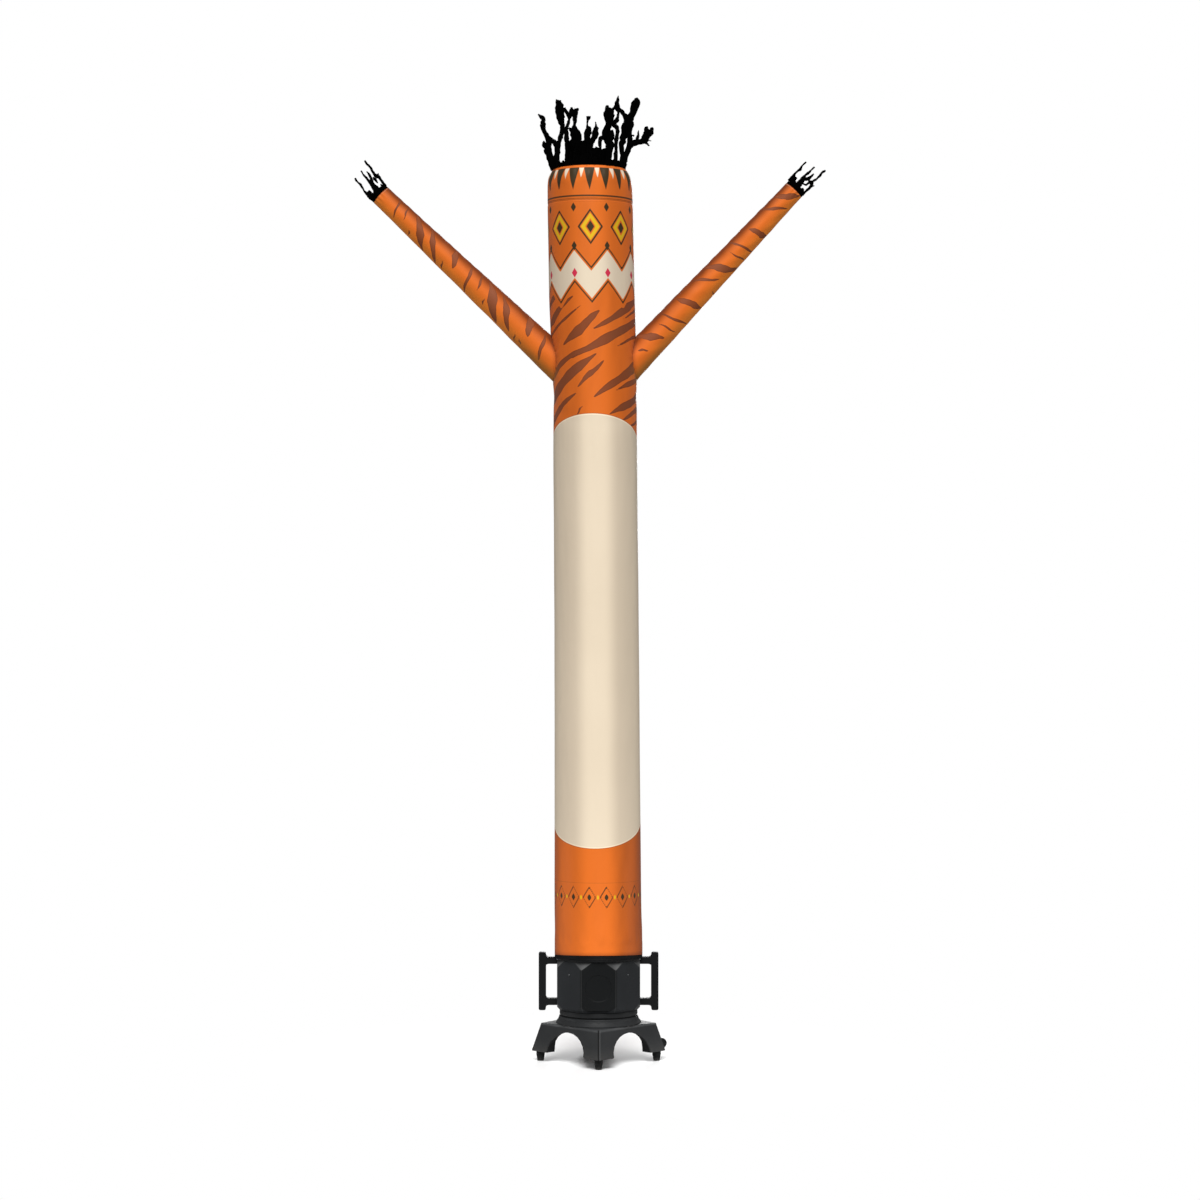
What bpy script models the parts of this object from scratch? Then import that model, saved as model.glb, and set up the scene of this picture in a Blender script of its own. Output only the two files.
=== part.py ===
"""An inflatable air dancer, blown up and upright on its floor blower.

Metres, +Z up. The origin is on the floor under the middle of the dancer's
spread arms, and the dancer faces -Y. All cloth is built in the shape that the
air holds it in: a leaning tube sewn from three lengths, with a gathered
shoulder, two tapered sleeves and ragged black fringes. The blower is an
octagonal drum on a square, arched, four-legged base.
"""

import math
import random

import bmesh
import bpy
import numpy as np
from mathutils import Matrix, Vector

# ---- driving sizes -------------------------------------------------------
AXIS_X = 0.030          # the blower's axis, to the right of the origin
GAP = 0.0003            # between pieces that are sewn, screwed or seated together
CLOTH = 0.0015          # cloth wall, with its coating and seam allowance
SIDES = 32              # facets round the tube, its seam tape and its cap

# blower, from the floor up
FOOT_HEIGHT = 0.034
FOOT_RADIUS = 0.0148
FOOT_REACH = 0.203      # each foot from the blower's axis
BASE_CORNER_LOW = 0.237     # corner of the square base at its feet
BASE_CORNER_HIGH = 0.203    # corner of the square base at its deck
DECK = 0.131            # height of the deck's edge
BASE_TOP = 0.159
ARCH_HALF_WIDTH = 0.092
ARCH_HEIGHT = 0.078
LEG_INNER = 0.135       # half width of the hollow under the deck
LEG_INNER_ROUND = 0.080
BORE = 0.126            # radius of the air way through the blower
NECK_RADIUS = 0.136
DRUM_BOTTOM = 0.183
DRUM_TOP = 0.352
DRUM_FLAT = 0.1446      # axis to each of the eight facets
DRUM_CHAMFER_RISE = 0.021   # height of the triangles cut off its corners
DRUM_CHAMFER_DEPTH = 0.011
FLANGE_RADIUS = 0.1535
FLANGE_TOP = 0.371
COLLAR_RADIUS = 0.1514
COLLAR_TOP = 0.408

# handles, seen from the front
GRIP_OUT = 0.2094
GRIP_IN = 0.1845
GRIP_LOW = 0.1768
GRIP_HIGH = 0.3797
HANDLE_ARMS = ((0.195, 0.219), (0.3388, 0.363))     # bottom and top of each arm
HANDLE_DEPTH = 0.026

# tube: height, how far its middle stands to the right, radius
TUBE_SECTIONS = (
    (FLANGE_TOP + GAP, 0.0000, 0.1536),
    (0.411, 0.0000, 0.1536),
    (0.560, -0.0020, 0.1526),
    (0.740, -0.0030, 0.1520),
    (0.910, -0.0044, 0.1507),
    (1.260, -0.0063, 0.1488),
    (1.610, -0.0077, 0.1475),
    (2.136, -0.0108, 0.1475),
    (2.346, -0.0115, 0.1474),
    (2.480, -0.0160, 0.1490),
    (2.626, -0.0217, 0.1505),
    (2.836, -0.0268, 0.1493),
    (3.011, -0.0303, 0.1490),
    (3.060, -0.0312, 0.1480),
)
# head above the tube: height, radius of the rounded shoulder up to the seam,
# and how far the cloth's outer side faces up there, in degrees
SHOULDER = (
    (3.080, 0.1450, 16),
    (3.097, 0.1392, 30),
    (3.1085, 0.1325, 42),
    (3.1155, 0.1263, 90),
)
HEAD_LEAN = -0.0318     # the head's middle, to the right of the blower's axis
CHEST_SEAM = 2.300      # the tube's lengths are sewn together at these heights
HEAD_SEAM = 2.993
CAP_RISE = 0.022        # the cap's crown above its seam
SEAM_TAPE = 0.0018      # thickness of the strip that the hair hangs on

# sleeves: end point, angle above level, radius at the end, widening per metre
ARMS = {
    "left": dict(side=-1, end=(-0.7609, 3.0270), rise=43.6, tip=0.0362, widen=0.0239),
    "right": dict(side=1, end=(0.6825, 3.0440), rise=46.8, tip=0.0357, widen=0.0227),
}
ARM_SIDES = 16
ARM_START = 0.10        # the sleeve is drawn this far from the tube's middle, then cut to it


# ---- helpers -------------------------------------------------------------
def clear_scene():
    for obj in list(bpy.data.objects):
        bpy.data.objects.remove(obj, do_unlink=True)


def material(name, colour, roughness, metallic=0.0):
    made = bpy.data.materials.new(name)
    made.use_nodes = True
    shader = made.node_tree.nodes["Principled BSDF"]
    shader.inputs["Base Color"].default_value = (*colour, 1.0)
    shader.inputs["Roughness"].default_value = roughness
    shader.inputs["Metallic"].default_value = metallic
    return made


def add_object(name, bm, finish=None, sharp=30.0, merge=0.0):
    """Turns a bmesh into a named object with its faces pointing out."""
    if merge:
        bmesh.ops.remove_doubles(bm, verts=bm.verts, dist=merge)
    bmesh.ops.recalc_face_normals(bm, faces=bm.faces)
    mesh = bpy.data.meshes.new(name)
    bm.to_mesh(mesh)
    bm.free()
    mesh.shade_smooth()
    mesh.set_sharp_from_angle(angle=math.radians(sharp))
    obj = bpy.data.objects.new(name, mesh)
    bpy.context.scene.collection.objects.link(obj)
    if finish:
        mesh.materials.append(finish)
    return obj


def helper(name, bm):
    """A cutter or another shape that is left out of the object."""
    obj = add_object(name, bm)
    obj.hide_render = True
    obj.display_type = "WIRE"
    return obj


def combine(obj, other, operation):
    step = obj.modifiers.new(operation.title() + " " + other.name, "BOOLEAN")
    step.operation = operation
    step.object = other
    step.solver = "EXACT"
    return step


def soft_edges(obj, width, segments=2, angle=40.0):
    step = obj.modifiers.new("Soft edges", "BEVEL")
    step.width = width
    step.segments = segments
    step.limit_method = "ANGLE"
    step.angle_limit = math.radians(angle)
    step.use_clamp_overlap = True
    return step


def loft(rings, ring_of_rings=False):
    """Joins closed rings of points into a skin. The rings close on the first
    again for a wall with two faces, or else flat ends close the skin."""
    bm = bmesh.new()
    rows = [[bm.verts.new(point) for point in ring] for ring in rings]
    around = len(rows[0])
    pairs = list(zip(rows, rows[1:]))
    if ring_of_rings:
        pairs.append((rows[-1], rows[0]))
    for low, high in pairs:
        for k in range(around):
            n = (k + 1) % around
            bm.faces.new((low[k], low[n], high[n], high[k]))
    if not ring_of_rings:
        bm.faces.new(rows[0])
        bm.faces.new(rows[-1])
    return bm


def circle(radius, z, sides=SIDES, middle=0.0, bulge=None):
    """Points of a level ring. bulge adds to the radius by bearing and height."""
    ring = []
    for k in range(sides):
        bearing = 2 * math.pi * k / sides
        reach = radius + (bulge(bearing, z) if bulge else 0.0)
        ring.append((middle + reach * math.sin(bearing), -reach * math.cos(bearing), z))
    return ring


def turned(profile, sides, bore=False):
    """Spins a profile of (radius, height) about Z. A bored one closes on itself,
    and a solid one starts and ends with a flat end."""
    return loft([circle(r, z, sides) for r, z in profile], ring_of_rings=bore)


def hull(points):
    """The flat-faced convex solid round some points."""
    bm = bmesh.new()
    for point in points:
        bm.verts.new(point)
    bmesh.ops.convex_hull(bm, input=bm.verts)
    bmesh.ops.dissolve_limit(
        bm, angle_limit=math.radians(0.5), verts=bm.verts, edges=bm.edges
    )
    return bm


def extruded(outline, low, high):
    """A flat outline in X and Z, pushed along Y from low to high."""
    return loft([[(x, y, z) for x, z in outline] for y in (low, high)])


def arc(x, z, radius, start, end, steps=3):
    """Points of a round corner, by angles in degrees."""
    turns = np.radians(np.linspace(start, end, steps + 1))
    return [(x + radius * math.cos(t), z + radius * math.sin(t)) for t in turns]


def smooth_between(rows, column, at):
    """A curve through one column of a table, with an even slope at each row."""
    x = np.array([row[0] for row in rows])
    y = np.array([row[column] for row in rows])
    slope = np.gradient(y, x)
    i = int(np.clip(np.searchsorted(x, at) - 1, 0, len(x) - 2))
    width = x[i + 1] - x[i]
    t = (at - x[i]) / width
    return float(
        (2 * t**3 - 3 * t**2 + 1) * y[i]
        + (t**3 - 2 * t**2 + t) * width * slope[i]
        + (3 * t**2 - 2 * t**3) * y[i + 1]
        + (t**3 - t**2) * width * slope[i + 1]
    )


# ---- the tube's shape ------------------------------------------------------
def fade(value, low, high):
    """0 below low, 1 above high, and a soft step between."""
    t = min(1.0, max(0.0, (value - low) / (high - low)))
    return t * t * (3 - 2 * t)


def bell(value, middle, width):
    return math.exp(-(((value - middle) / width) ** 2))


def tube_middle(z):
    return smooth_between(TUBE_SECTIONS, 1, z)


def tube_bulge(bearing, z):
    """Folds of the blown-up tube: slow swells, pleats above the strapped hem,
    gathers under the shoulder seam, and troughs that pull at each armhole."""
    swell = 0.0011 * math.sin(2 * bearing + 2.1 * z) * math.sin(1.7 * z + 0.6)
    swell += 0.0008 * math.sin(3 * bearing - 3.4 * z + 1.0)
    hem = 0.0012 * math.sin(9 * bearing + 0.8) * bell(z, 0.455, 0.035)
    gathers = 0.0022 * math.cos(10 * bearing + 0.4) * bell(z, 3.078, 0.022)
    pull = 0.0
    for arm in ARMS.values():
        off = math.sin(bearing) * arm["side"]
        if off <= 0:
            continue
        across = math.cos(bearing)
        pull -= 0.0035 * off * bell(across, 0.42, 0.16) * bell(z, 2.52, 0.10)
        pull -= 0.0030 * off * bell(across, -0.45, 0.16) * bell(z, 2.36, 0.12)
        pull -= 0.0025 * off * bell(z, 2.325 - 0.10 * abs(across), 0.03)
    ends = fade(z, COLLAR_TOP, COLLAR_TOP + 0.03) * (1 - fade(z, 3.095, 3.112))
    return (swell + hem + gathers + pull) * ends


def tube_rings(offset=0.0, low=TUBE_SECTIONS[0][0], high=SHOULDER[-1][0]):
    """Level rings of the tube between two heights, by default from its hem to
    the shoulder's seam, grown by offset."""
    between = {row[0] for row in TUBE_SECTIONS}
    between |= {0.435, 0.465, 0.500, 1.085, 1.435, 1.87, 2.20, 2.42, 2.55, 2.73, 2.91}
    wall = {z for z in between if low < z < high}
    wall |= {low} if high == SHOULDER[-1][0] else {low, high}
    heights = sorted(wall)
    rings = [
        circle(
            smooth_between(TUBE_SECTIONS, 2, z) + offset,
            z,
            middle=tube_middle(z),
            bulge=tube_bulge,
        )
        for z in heights
    ]
    if high < SHOULDER[-1][0]:
        return rings
    # On the rounded shoulder the wall's thickness turns from sideways to upright.
    for z, radius, facing in SHOULDER:
        out, up = math.cos(math.radians(facing)), math.sin(math.radians(facing))
        rings.append(circle(radius + offset * out, z + offset * up, middle=HEAD_LEAN, bulge=tube_bulge))
    return rings


# ---- cloth pieces ----------------------------------------------------------
def arm_frame(arm):
    """Where the sleeve's end is, which way it points, and its length from the
    tube's middle."""
    rise = math.radians(arm["rise"])
    way = Vector((arm["side"] * math.cos(rise), 0.0, math.sin(rise)))
    end = Vector((arm["end"][0], 0.0, arm["end"][1]))
    from_middle = (abs(end.x - tube_middle(2.46)) / math.cos(rise)) - ARM_START
    return end, way, from_middle


def arm_radius(arm, back):
    """Radius at a distance back from the sleeve's end, with soft bumps."""
    lumps = 0.0012 * math.sin(back * 47.0 + arm["side"]) * fade(back, 0.02, 0.08)
    return arm["tip"] + arm["widen"] * back + lumps


def arm_ring(arm, back, offset=0.0, dent=True):
    end, way, _ = arm_frame(arm)
    along = end - way * back
    up = Vector((-way.z * arm["side"], 0.0, way.x * arm["side"]))
    ring = []
    for k in range(ARM_SIDES):
        t = 2 * math.pi * k / ARM_SIDES
        radius = arm_radius(arm, back) + offset
        if dent:    # shallow cross folds on the upper side
            crease = max(0.0, math.cos(t)) ** 2 * fade(back, 0.03, 0.1)
            radius -= 0.0016 * crease * (1 + math.sin(back * 88.0))
        ring.append(along + up * (radius * math.cos(t)) + Vector((0, radius * math.sin(t), 0)))
    return ring


def arm_cutter(name, arm):
    """The space inside one sleeve, which opens the tube's side."""
    _, _, length = arm_frame(arm)
    rings = [arm_ring(arm, back, -CLOTH, dent=False) for back in (length - 0.2, length + 0.02)]
    return helper("space_in_" + name, loft(rings))


def build_tube(cloth):
    """The tube's three lengths, with the armholes in the middle one."""
    lengths = {
        "tube_body": (TUBE_SECTIONS[0][0], CHEST_SEAM - GAP / 2),
        "tube_chest": (CHEST_SEAM + GAP / 2, HEAD_SEAM - GAP / 2),
        "tube_head": (HEAD_SEAM + GAP / 2, SHOULDER[-1][0]),
    }
    made = {}
    for name, (low, high) in lengths.items():
        outer = tube_rings(0.0, low, high)
        inner = tube_rings(-CLOTH, low, high)
        made[name] = add_object(name, loft(outer + inner[::-1], True), cloth, 50)
    for name, arm in ARMS.items():
        combine(made["tube_chest"], arm_cutter(name, arm), "DIFFERENCE")


def build_arm(name, arm, cloth, tube_solid):
    """A tapered sleeve, its root cut to the tube's side."""
    _, _, length = arm_frame(arm)
    places = [length * k / 11 for k in range(12)]
    outer = [arm_ring(arm, back) for back in places]
    inner = [arm_ring(arm, back, -CLOTH) for back in places]
    sleeve = add_object("arm_" + name, loft(outer + inner[::-1], True), cloth, 50)
    combine(sleeve, tube_solid, "DIFFERENCE")
    return sleeve


def build_cap(cloth):
    """The round piece sewn on as the head's top, a low crown."""
    seam_z = SHOULDER[-1][0]
    edge = SHOULDER[-1][1] - SEAM_TAPE - 2 * GAP - 0.0002
    upper = []
    for share in (0.15, 0.55, 0.85, 1.0):
        upper.append((edge * share, seam_z + CAP_RISE * (1 - share**2.4)))
    # The crown is flat at its centre, where the seams of its segments meet.
    skin = upper + [(r * 0.988, z - CLOTH) for r, z in upper[::-1]]
    bm = loft([circle(r, z, middle=HEAD_LEAN) for r, z in skin])
    return add_object("head_cap", bm, cloth, 50)


# ---- fringes ---------------------------------------------------------------
def strand(path, widths, thickness, across):
    """A four-sided strip along a path, from points, widths and its wide way."""
    rings = []
    for i, point in enumerate(path):
        ahead = path[min(i + 1, len(path) - 1)] - path[max(i - 1, 0)]
        wide = (across - ahead * (across.dot(ahead) / ahead.length_squared)).normalized()
        deep = ahead.normalized().cross(wide)
        w, t = wide * (widths[i] / 2), deep * (thickness / 2)
        rings.append([point - w - t, point + w - t, point + w + t, point - w + t])
    return rings


def add_strip(bm, rings):
    rows = [[bm.verts.new(p) for p in ring] for ring in rings]
    for low, high in zip(rows, rows[1:]):
        for k in range(4):
            bm.faces.new((low[k], low[(k + 1) % 4], high[(k + 1) % 4], high[k]))
    bm.faces.new(rows[0])
    bm.faces.new(rows[-1])


HAIR_STEPS = 5
# locks that give the crown its outline: bearing from the front towards the
# right, length, lean out, sideways bend, width of the tip
HAIR_LOCKS = (
    (-96, 0.215, 0.48, 0.02, 0.012),
    (-78, 0.120, 0.42, -0.03, 0.020),
    (-60, 0.235, 0.16, -0.03, 0.030),
    (-42, 0.200, 0.10, 0.05, 0.020),
    (-25, 0.130, 0.05, -0.02, 0.014),
    (-8, 0.175, 0.04, 0.03, 0.012),
    (10, 0.135, 0.06, 0.04, 0.008),
    (27, 0.205, 0.10, 0.06, 0.024),
    (44, 0.240, 0.14, -0.04, 0.010),
    (61, 0.245, 0.28, 0.03, 0.026),
    (79, 0.165, 0.70, 0.05, 0.022),
    (97, 0.200, 0.66, -0.05, 0.026),
)
HAIR_BACK = 15          # plainer locks round the back half


def hair_locks():
    """All rows: the outline locks and the ones behind, evenly round the back."""
    chance = random.Random(7)
    rows = list(HAIR_LOCKS)
    for k in range(HAIR_BACK):
        bearing = 108 + (252 - 108) * k / (HAIR_BACK - 1)
        rows.append(
            (
                bearing,
                chance.uniform(0.11, 0.24),
                chance.uniform(0.05, 0.42),
                chance.uniform(-0.05, 0.05),
                chance.uniform(0.009, 0.024),
            )
        )
    # Short, upright tufts fill the gaps between the front locks.
    for k in range(len(HAIR_LOCKS) - 1):
        bearing = (HAIR_LOCKS[k][0] + HAIR_LOCKS[k + 1][0]) / 2
        rows.append(
            (
                bearing,
                chance.uniform(0.07, 0.13),
                chance.uniform(0.0, 0.10),
                chance.uniform(-0.03, 0.03),
                chance.uniform(0.006, 0.014),
            )
        )
    return rows


def lock_path(row, number):
    """A lock rises from the tape, leans out and wavers as cloth does in air."""
    bearing, length, lean, bend, tip = row
    t = math.radians(bearing)
    out = Vector((math.sin(t), -math.cos(t), 0.0))
    side = Vector((math.cos(t), math.sin(t), 0.0))
    radius = SHOULDER[-1][1] - SEAM_TAPE / 2 - GAP
    root = Vector((HEAD_LEAN, 0, SHOULDER[-1][0] + 0.004)) + out * radius
    path, widths = [], []
    steps = HAIR_STEPS if length > 0.13 else 3
    for i in range(steps + 1):
        s = i / steps
        waver = 0.010 * math.sin(6.5 * s + 2.4 * number) * s
        flat = length * lean * s ** 1.3
        rise = length * s * math.sqrt(max(0.05, 1 - 0.8 * lean * lean))
        path.append(
            root
            + out * (flat + 0.006 * math.sin(5 * s + number) * s)
            + side * (bend * length * 4 * s * s + waver)
            + Vector((0, 0, rise))
        )
        waist = 0.0150 - 0.0065 * math.sin(math.pi * min(1.0, s * 1.3))
        ragged = 1 + 0.25 * math.sin(11 * s + 3.1 * number)
        widths.append((waist * (1 - s) + tip * s) * (ragged if 0 < i < steps else 1.0))
    widths[-1] *= 0.55
    return path, widths, side


def build_hair(black):
    """The black crown: a tape sewn into the head seam, with its cut locks."""
    seam_z = SHOULDER[-1][0]
    high = SHOULDER[-1][1] - GAP - 0.0001
    low = high - SEAM_TAPE
    profile = ((low, seam_z - 0.004), (high, seam_z - 0.004), (high, seam_z + 0.012), (low, seam_z + 0.012))
    tape = loft([circle(r, z, middle=HEAD_LEAN) for r, z in profile], True)
    hair = add_object("hair_fringe", tape, black, 40)
    locks = bmesh.new()
    for number, row in enumerate(hair_locks()):
        path, widths, side = lock_path(row, number)
        add_strip(locks, strand(path, widths, 0.0030, side))
    combine(hair, helper("hair_locks", locks), "UNION")
    return hair


# hand locks: bearing round the wrist from its upper side, length, sideways bend
HAND_LOCKS = (
    (0, 0.078, 0.10),
    (45, 0.040, -0.10),
    (90, 0.066, 0.12),
    (135, 0.036, -0.08),
    (180, 0.080, 0.06),
    (225, 0.058, -0.10),
    (270, 0.038, 0.10),
    (315, 0.062, -0.06),
)
CUFF = 0.020            # depth of the black strip on each wrist


def build_hand(name, arm, black):
    """A black strip round the sleeve's end and the ragged locks cut from it."""
    end, way, _ = arm_frame(arm)
    up = Vector((-way.z * arm["side"], 0.0, way.x * arm["side"]))
    rim, wall = arm["tip"], 0.0018

    def ring(radius, ahead):
        turns = [2 * math.pi * k / ARM_SIDES for k in range(ARM_SIDES)]
        return [
            end + way * ahead + up * (radius * math.cos(t)) + Vector((0, radius * math.sin(t), 0))
            for t in turns
        ]

    start = GAP + 0.0001
    rings = [
        ring(rim, start),
        ring(rim * 0.98, start + CUFF),
        ring(rim * 0.98 - wall, start + CUFF),
        ring(rim - wall, start),
    ]
    hand = add_object("hand_fringe_" + name, loft(rings, True), black, 40)
    locks = bmesh.new()
    for number, (bearing, length, bend) in enumerate(HAND_LOCKS):
        t = math.radians(bearing)
        out = up * math.cos(t) + Vector((0, math.sin(t), 0))
        side = -up * math.sin(t) + Vector((0, math.cos(t), 0))
        root = end + way * (start + CUFF * 0.7) + out * (rim * 0.985 - wall / 2)
        path, widths = [], []
        for i in range(4):
            s = i / 3
            waver = 0.004 * math.sin(5 * s + 2.0 * number) * s
            path.append(root + way * (length * s) + out * (0.10 * length * s) + side * (bend * length * s * s + waver))
            widths.append((0.0125, 0.0080, 0.0055, 0.0030)[i])
        add_strip(locks, strand(path, widths, 0.0024, side))
    combine(hand, helper("hand_locks_" + name, locks), "UNION")
    return hand


# ---- blower pieces ---------------------------------------------------------
def octagon(flat, z):
    corner = flat / math.cos(math.pi / 8)
    return [
        (corner * math.sin(math.pi / 8 * k), -corner * math.cos(math.pi / 8 * k), z)
        for k in range(1, 16, 2)
    ]


def cut_corners(flat, depth, z):
    """The octagon with each corner cut back by depth: sixteen points."""
    corners = [Vector(p) for p in octagon(flat, z)]
    reach = depth / math.sin(math.pi / 8)
    points = []
    for k, corner in enumerate(corners):
        for other in (corners[k - 1], corners[(k + 1) % 8]):
            points.append(corner + (other - corner).normalized() * reach)
    return points


def build_drum(plastic):
    """The octagonal fan drum, triangles cut off its corners, bored for the air."""
    chamfer_low = 0.017
    points = (
        cut_corners(DRUM_FLAT, DRUM_CHAMFER_DEPTH, DRUM_TOP)
        + octagon(DRUM_FLAT, DRUM_TOP - DRUM_CHAMFER_RISE)
        + octagon(DRUM_FLAT, DRUM_BOTTOM + 0.009 + chamfer_low)
        + cut_corners(DRUM_FLAT, 0.009, DRUM_BOTTOM + 0.009)
        + cut_corners(NECK_RADIUS + 0.0005, 0.0085, DRUM_BOTTOM)
    )
    drum = add_object("fan_drum", hull(points), plastic, 15)
    soft_edges(drum, 0.0016, 1, 12)
    bore = turned(((BORE, DRUM_BOTTOM - 0.02), (BORE, DRUM_TOP + 0.02)), SIDES)
    combine(drum, helper("drum_bore", bore), "DIFFERENCE")
    seat = turned(((0.046, -0.0014), (0.046, 0.02)), 32)
    cut = helper("badge_seat", seat)
    cut.rotation_euler = (math.radians(90), 0, 0)
    cut.location = (0, -DRUM_FLAT, (DRUM_BOTTOM + DRUM_TOP) / 2 + 0.002)
    combine(drum, cut, "DIFFERENCE")
    return drum


def build_outlet(plastic):
    """The round flange that the hem sits on, with the collar inside the hem."""
    low = DRUM_TOP + GAP
    profile = (
        (BORE, low),
        (FLANGE_RADIUS - 0.002, low),
        (FLANGE_RADIUS, low + 0.002),
        (FLANGE_RADIUS, FLANGE_TOP - 0.002),
        (FLANGE_RADIUS - 0.001, FLANGE_TOP),
        (COLLAR_RADIUS, FLANGE_TOP),
        (COLLAR_RADIUS, COLLAR_TOP - 0.003),
        (COLLAR_RADIUS - 0.003, COLLAR_TOP),
        (COLLAR_RADIUS - 0.008, COLLAR_TOP),
        (COLLAR_RADIUS - 0.008, FLANGE_TOP - 0.006),
        (BORE, FLANGE_TOP - 0.012),
    )
    return add_object("outlet_ring", turned(profile, SIDES, True), plastic)


def build_neck(plastic):
    low, high = BASE_TOP + GAP, DRUM_BOTTOM - GAP
    profile = (
        (BORE, low),
        (NECK_RADIUS - 0.0025, low),
        (NECK_RADIUS, low + 0.0025),
        (NECK_RADIUS, high - 0.0025),
        (NECK_RADIUS - 0.0025, high),
        (BORE, high),
    )
    return add_object("neck_ring", turned(profile, SIDES, True), plastic)


def rounded_square(half, radius, steps=5):
    points = []
    for turn, (x, y) in zip((0, 90, 180, 270), ((1, 1), (-1, 1), (-1, -1), (1, -1))):
        inset = half - radius
        points += arc(x * inset, y * inset, radius, turn, turn + 90, steps)
    return points


def build_base(plastic):
    """The square, arched base, set corner on, with a flared neck on its deck."""
    quarter = [math.radians(90 * k) for k in range(4)]
    corners = [
        (reach * math.cos(t), reach * math.sin(t), z)
        for reach, z in ((BASE_CORNER_LOW, FOOT_HEIGHT), (BASE_CORNER_HIGH, DECK))
        for t in quarter
    ]
    base = add_object("blower_base", hull(corners + circle(0.140, DECK + 0.005)), plastic, 25)
    soft_edges(base, 0.0035, 1, 50)
    flare = (
        (0.120, DECK - 0.004),
        (0.1455, DECK - 0.004),
        (0.1470, DECK + 0.006),
        (0.1410, DECK + 0.018),
        (0.1375, BASE_TOP - 0.002),
        (0.1360, BASE_TOP),
        (0.120, BASE_TOP),
    )
    combine(base, helper("base_flare", turned(flare, SIDES, True)), "UNION")
    turn = Matrix.Rotation(math.radians(45), 4, "Z")
    hollow = loft(
        [[(x, y, z) for x, y in rounded_square(LEG_INNER, LEG_INNER_ROUND)] for z in (0.0, DECK - 0.013)]
    )
    bmesh.ops.transform(hollow, matrix=turn, verts=hollow.verts)
    combine(base, helper("hollow_under_deck", hollow), "DIFFERENCE")
    low = FOOT_HEIGHT
    outline = [(ARCH_HALF_WIDTH, low - 0.03)]
    for t in np.linspace(0, math.pi, 13):
        outline.append((ARCH_HALF_WIDTH * math.cos(t), low + ARCH_HEIGHT * math.sin(t)))
    outline.append((-ARCH_HALF_WIDTH, low - 0.03))
    for k in (1, 3):
        tunnel = extruded(outline, -0.3, 0.3)
        spin = Matrix.Rotation(math.radians(45 * k), 4, "Z")
        bmesh.ops.transform(tunnel, matrix=spin, verts=tunnel.verts)
        combine(base, helper(f"arch_{k}", tunnel), "DIFFERENCE")
    bore = turned(((BORE, DECK - 0.03), (BORE, BASE_TOP + 0.02)), SIDES)
    combine(base, helper("base_bore", bore), "DIFFERENCE")
    return base


def handle_outline():
    """The left handle seen from the front: an upright grip on two arms, whose
    ends stop at the drum's facet and, above it, at the round flange."""
    r, fillet = 0.006, 0.007
    at_drum, at_flange = -DRUM_FLAT - GAP, -FLANGE_RADIUS - GAP - 0.0001
    (low_a, low_b), (high_a, high_b) = HANDLE_ARMS
    out, inside = -GRIP_OUT, -GRIP_IN
    points = arc(out + r, GRIP_LOW + r, r, 180, 270)
    points += arc(inside - r, GRIP_LOW + r, r, 270, 360)
    points += arc(inside + fillet, low_a - fillet, fillet, 180, 90)
    points += [(at_drum, low_a), (at_drum, low_b)]
    points += arc(inside + fillet, low_b + fillet, fillet, 270, 180)
    points += arc(inside + fillet, high_a - fillet, fillet, 180, 90)
    points += [(at_drum, high_a), (at_drum, DRUM_TOP - 0.0005)]
    points += [(at_flange, DRUM_TOP - 0.0005), (at_flange, high_b)]
    points += arc(inside + fillet, high_b + fillet, fillet, 270, 180)
    points += arc(inside - r, GRIP_HIGH - r, r, 0, 90)
    points += arc(out + r, GRIP_HIGH - r, r, 90, 180)
    return points


def build_handles(plastic):
    half = HANDLE_DEPTH / 2
    solid = extruded(handle_outline(), -half, half)
    # Only the grip and arms are rounded, not the ends that meet the drum.
    rims = [
        edge
        for edge in solid.edges
        if edge.verts[0].co.y == edge.verts[1].co.y
        and max(vert.co.x for vert in edge.verts) < -FLANGE_RADIUS - 0.002
    ]
    bmesh.ops.bevel(
        solid, geom=rims, offset=0.004, segments=1, profile=0.5, affect="EDGES", clamp_overlap=True
    )
    left = add_object("handle_left", solid, plastic, 35)
    right = bpy.data.objects.new("handle_right", left.data)
    bpy.context.scene.collection.objects.link(right)
    right.rotation_euler = (0, 0, math.pi)


def build_feet(rubber):
    top = FOOT_HEIGHT - GAP
    profile = (
        (FOOT_RADIUS - 0.0045, 0.0),
        (FOOT_RADIUS - 0.0030, 0.0015),
        (FOOT_RADIUS - 0.0018, top * 0.40),
        (FOOT_RADIUS, top * 0.55),
        (FOOT_RADIUS, top),
    )
    first = add_object("foot_front", turned(profile, 14), rubber, 40)
    feet = [first]
    for name in ("foot_right", "foot_back", "foot_left"):
        foot = bpy.data.objects.new(name, first.data)
        bpy.context.scene.collection.objects.link(foot)
        feet.append(foot)
    for k, foot in enumerate(feet):
        t = math.radians(90 * k - 90)
        foot.location = (FOOT_REACH * math.cos(t), FOOT_REACH * math.sin(t), 0)


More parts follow.
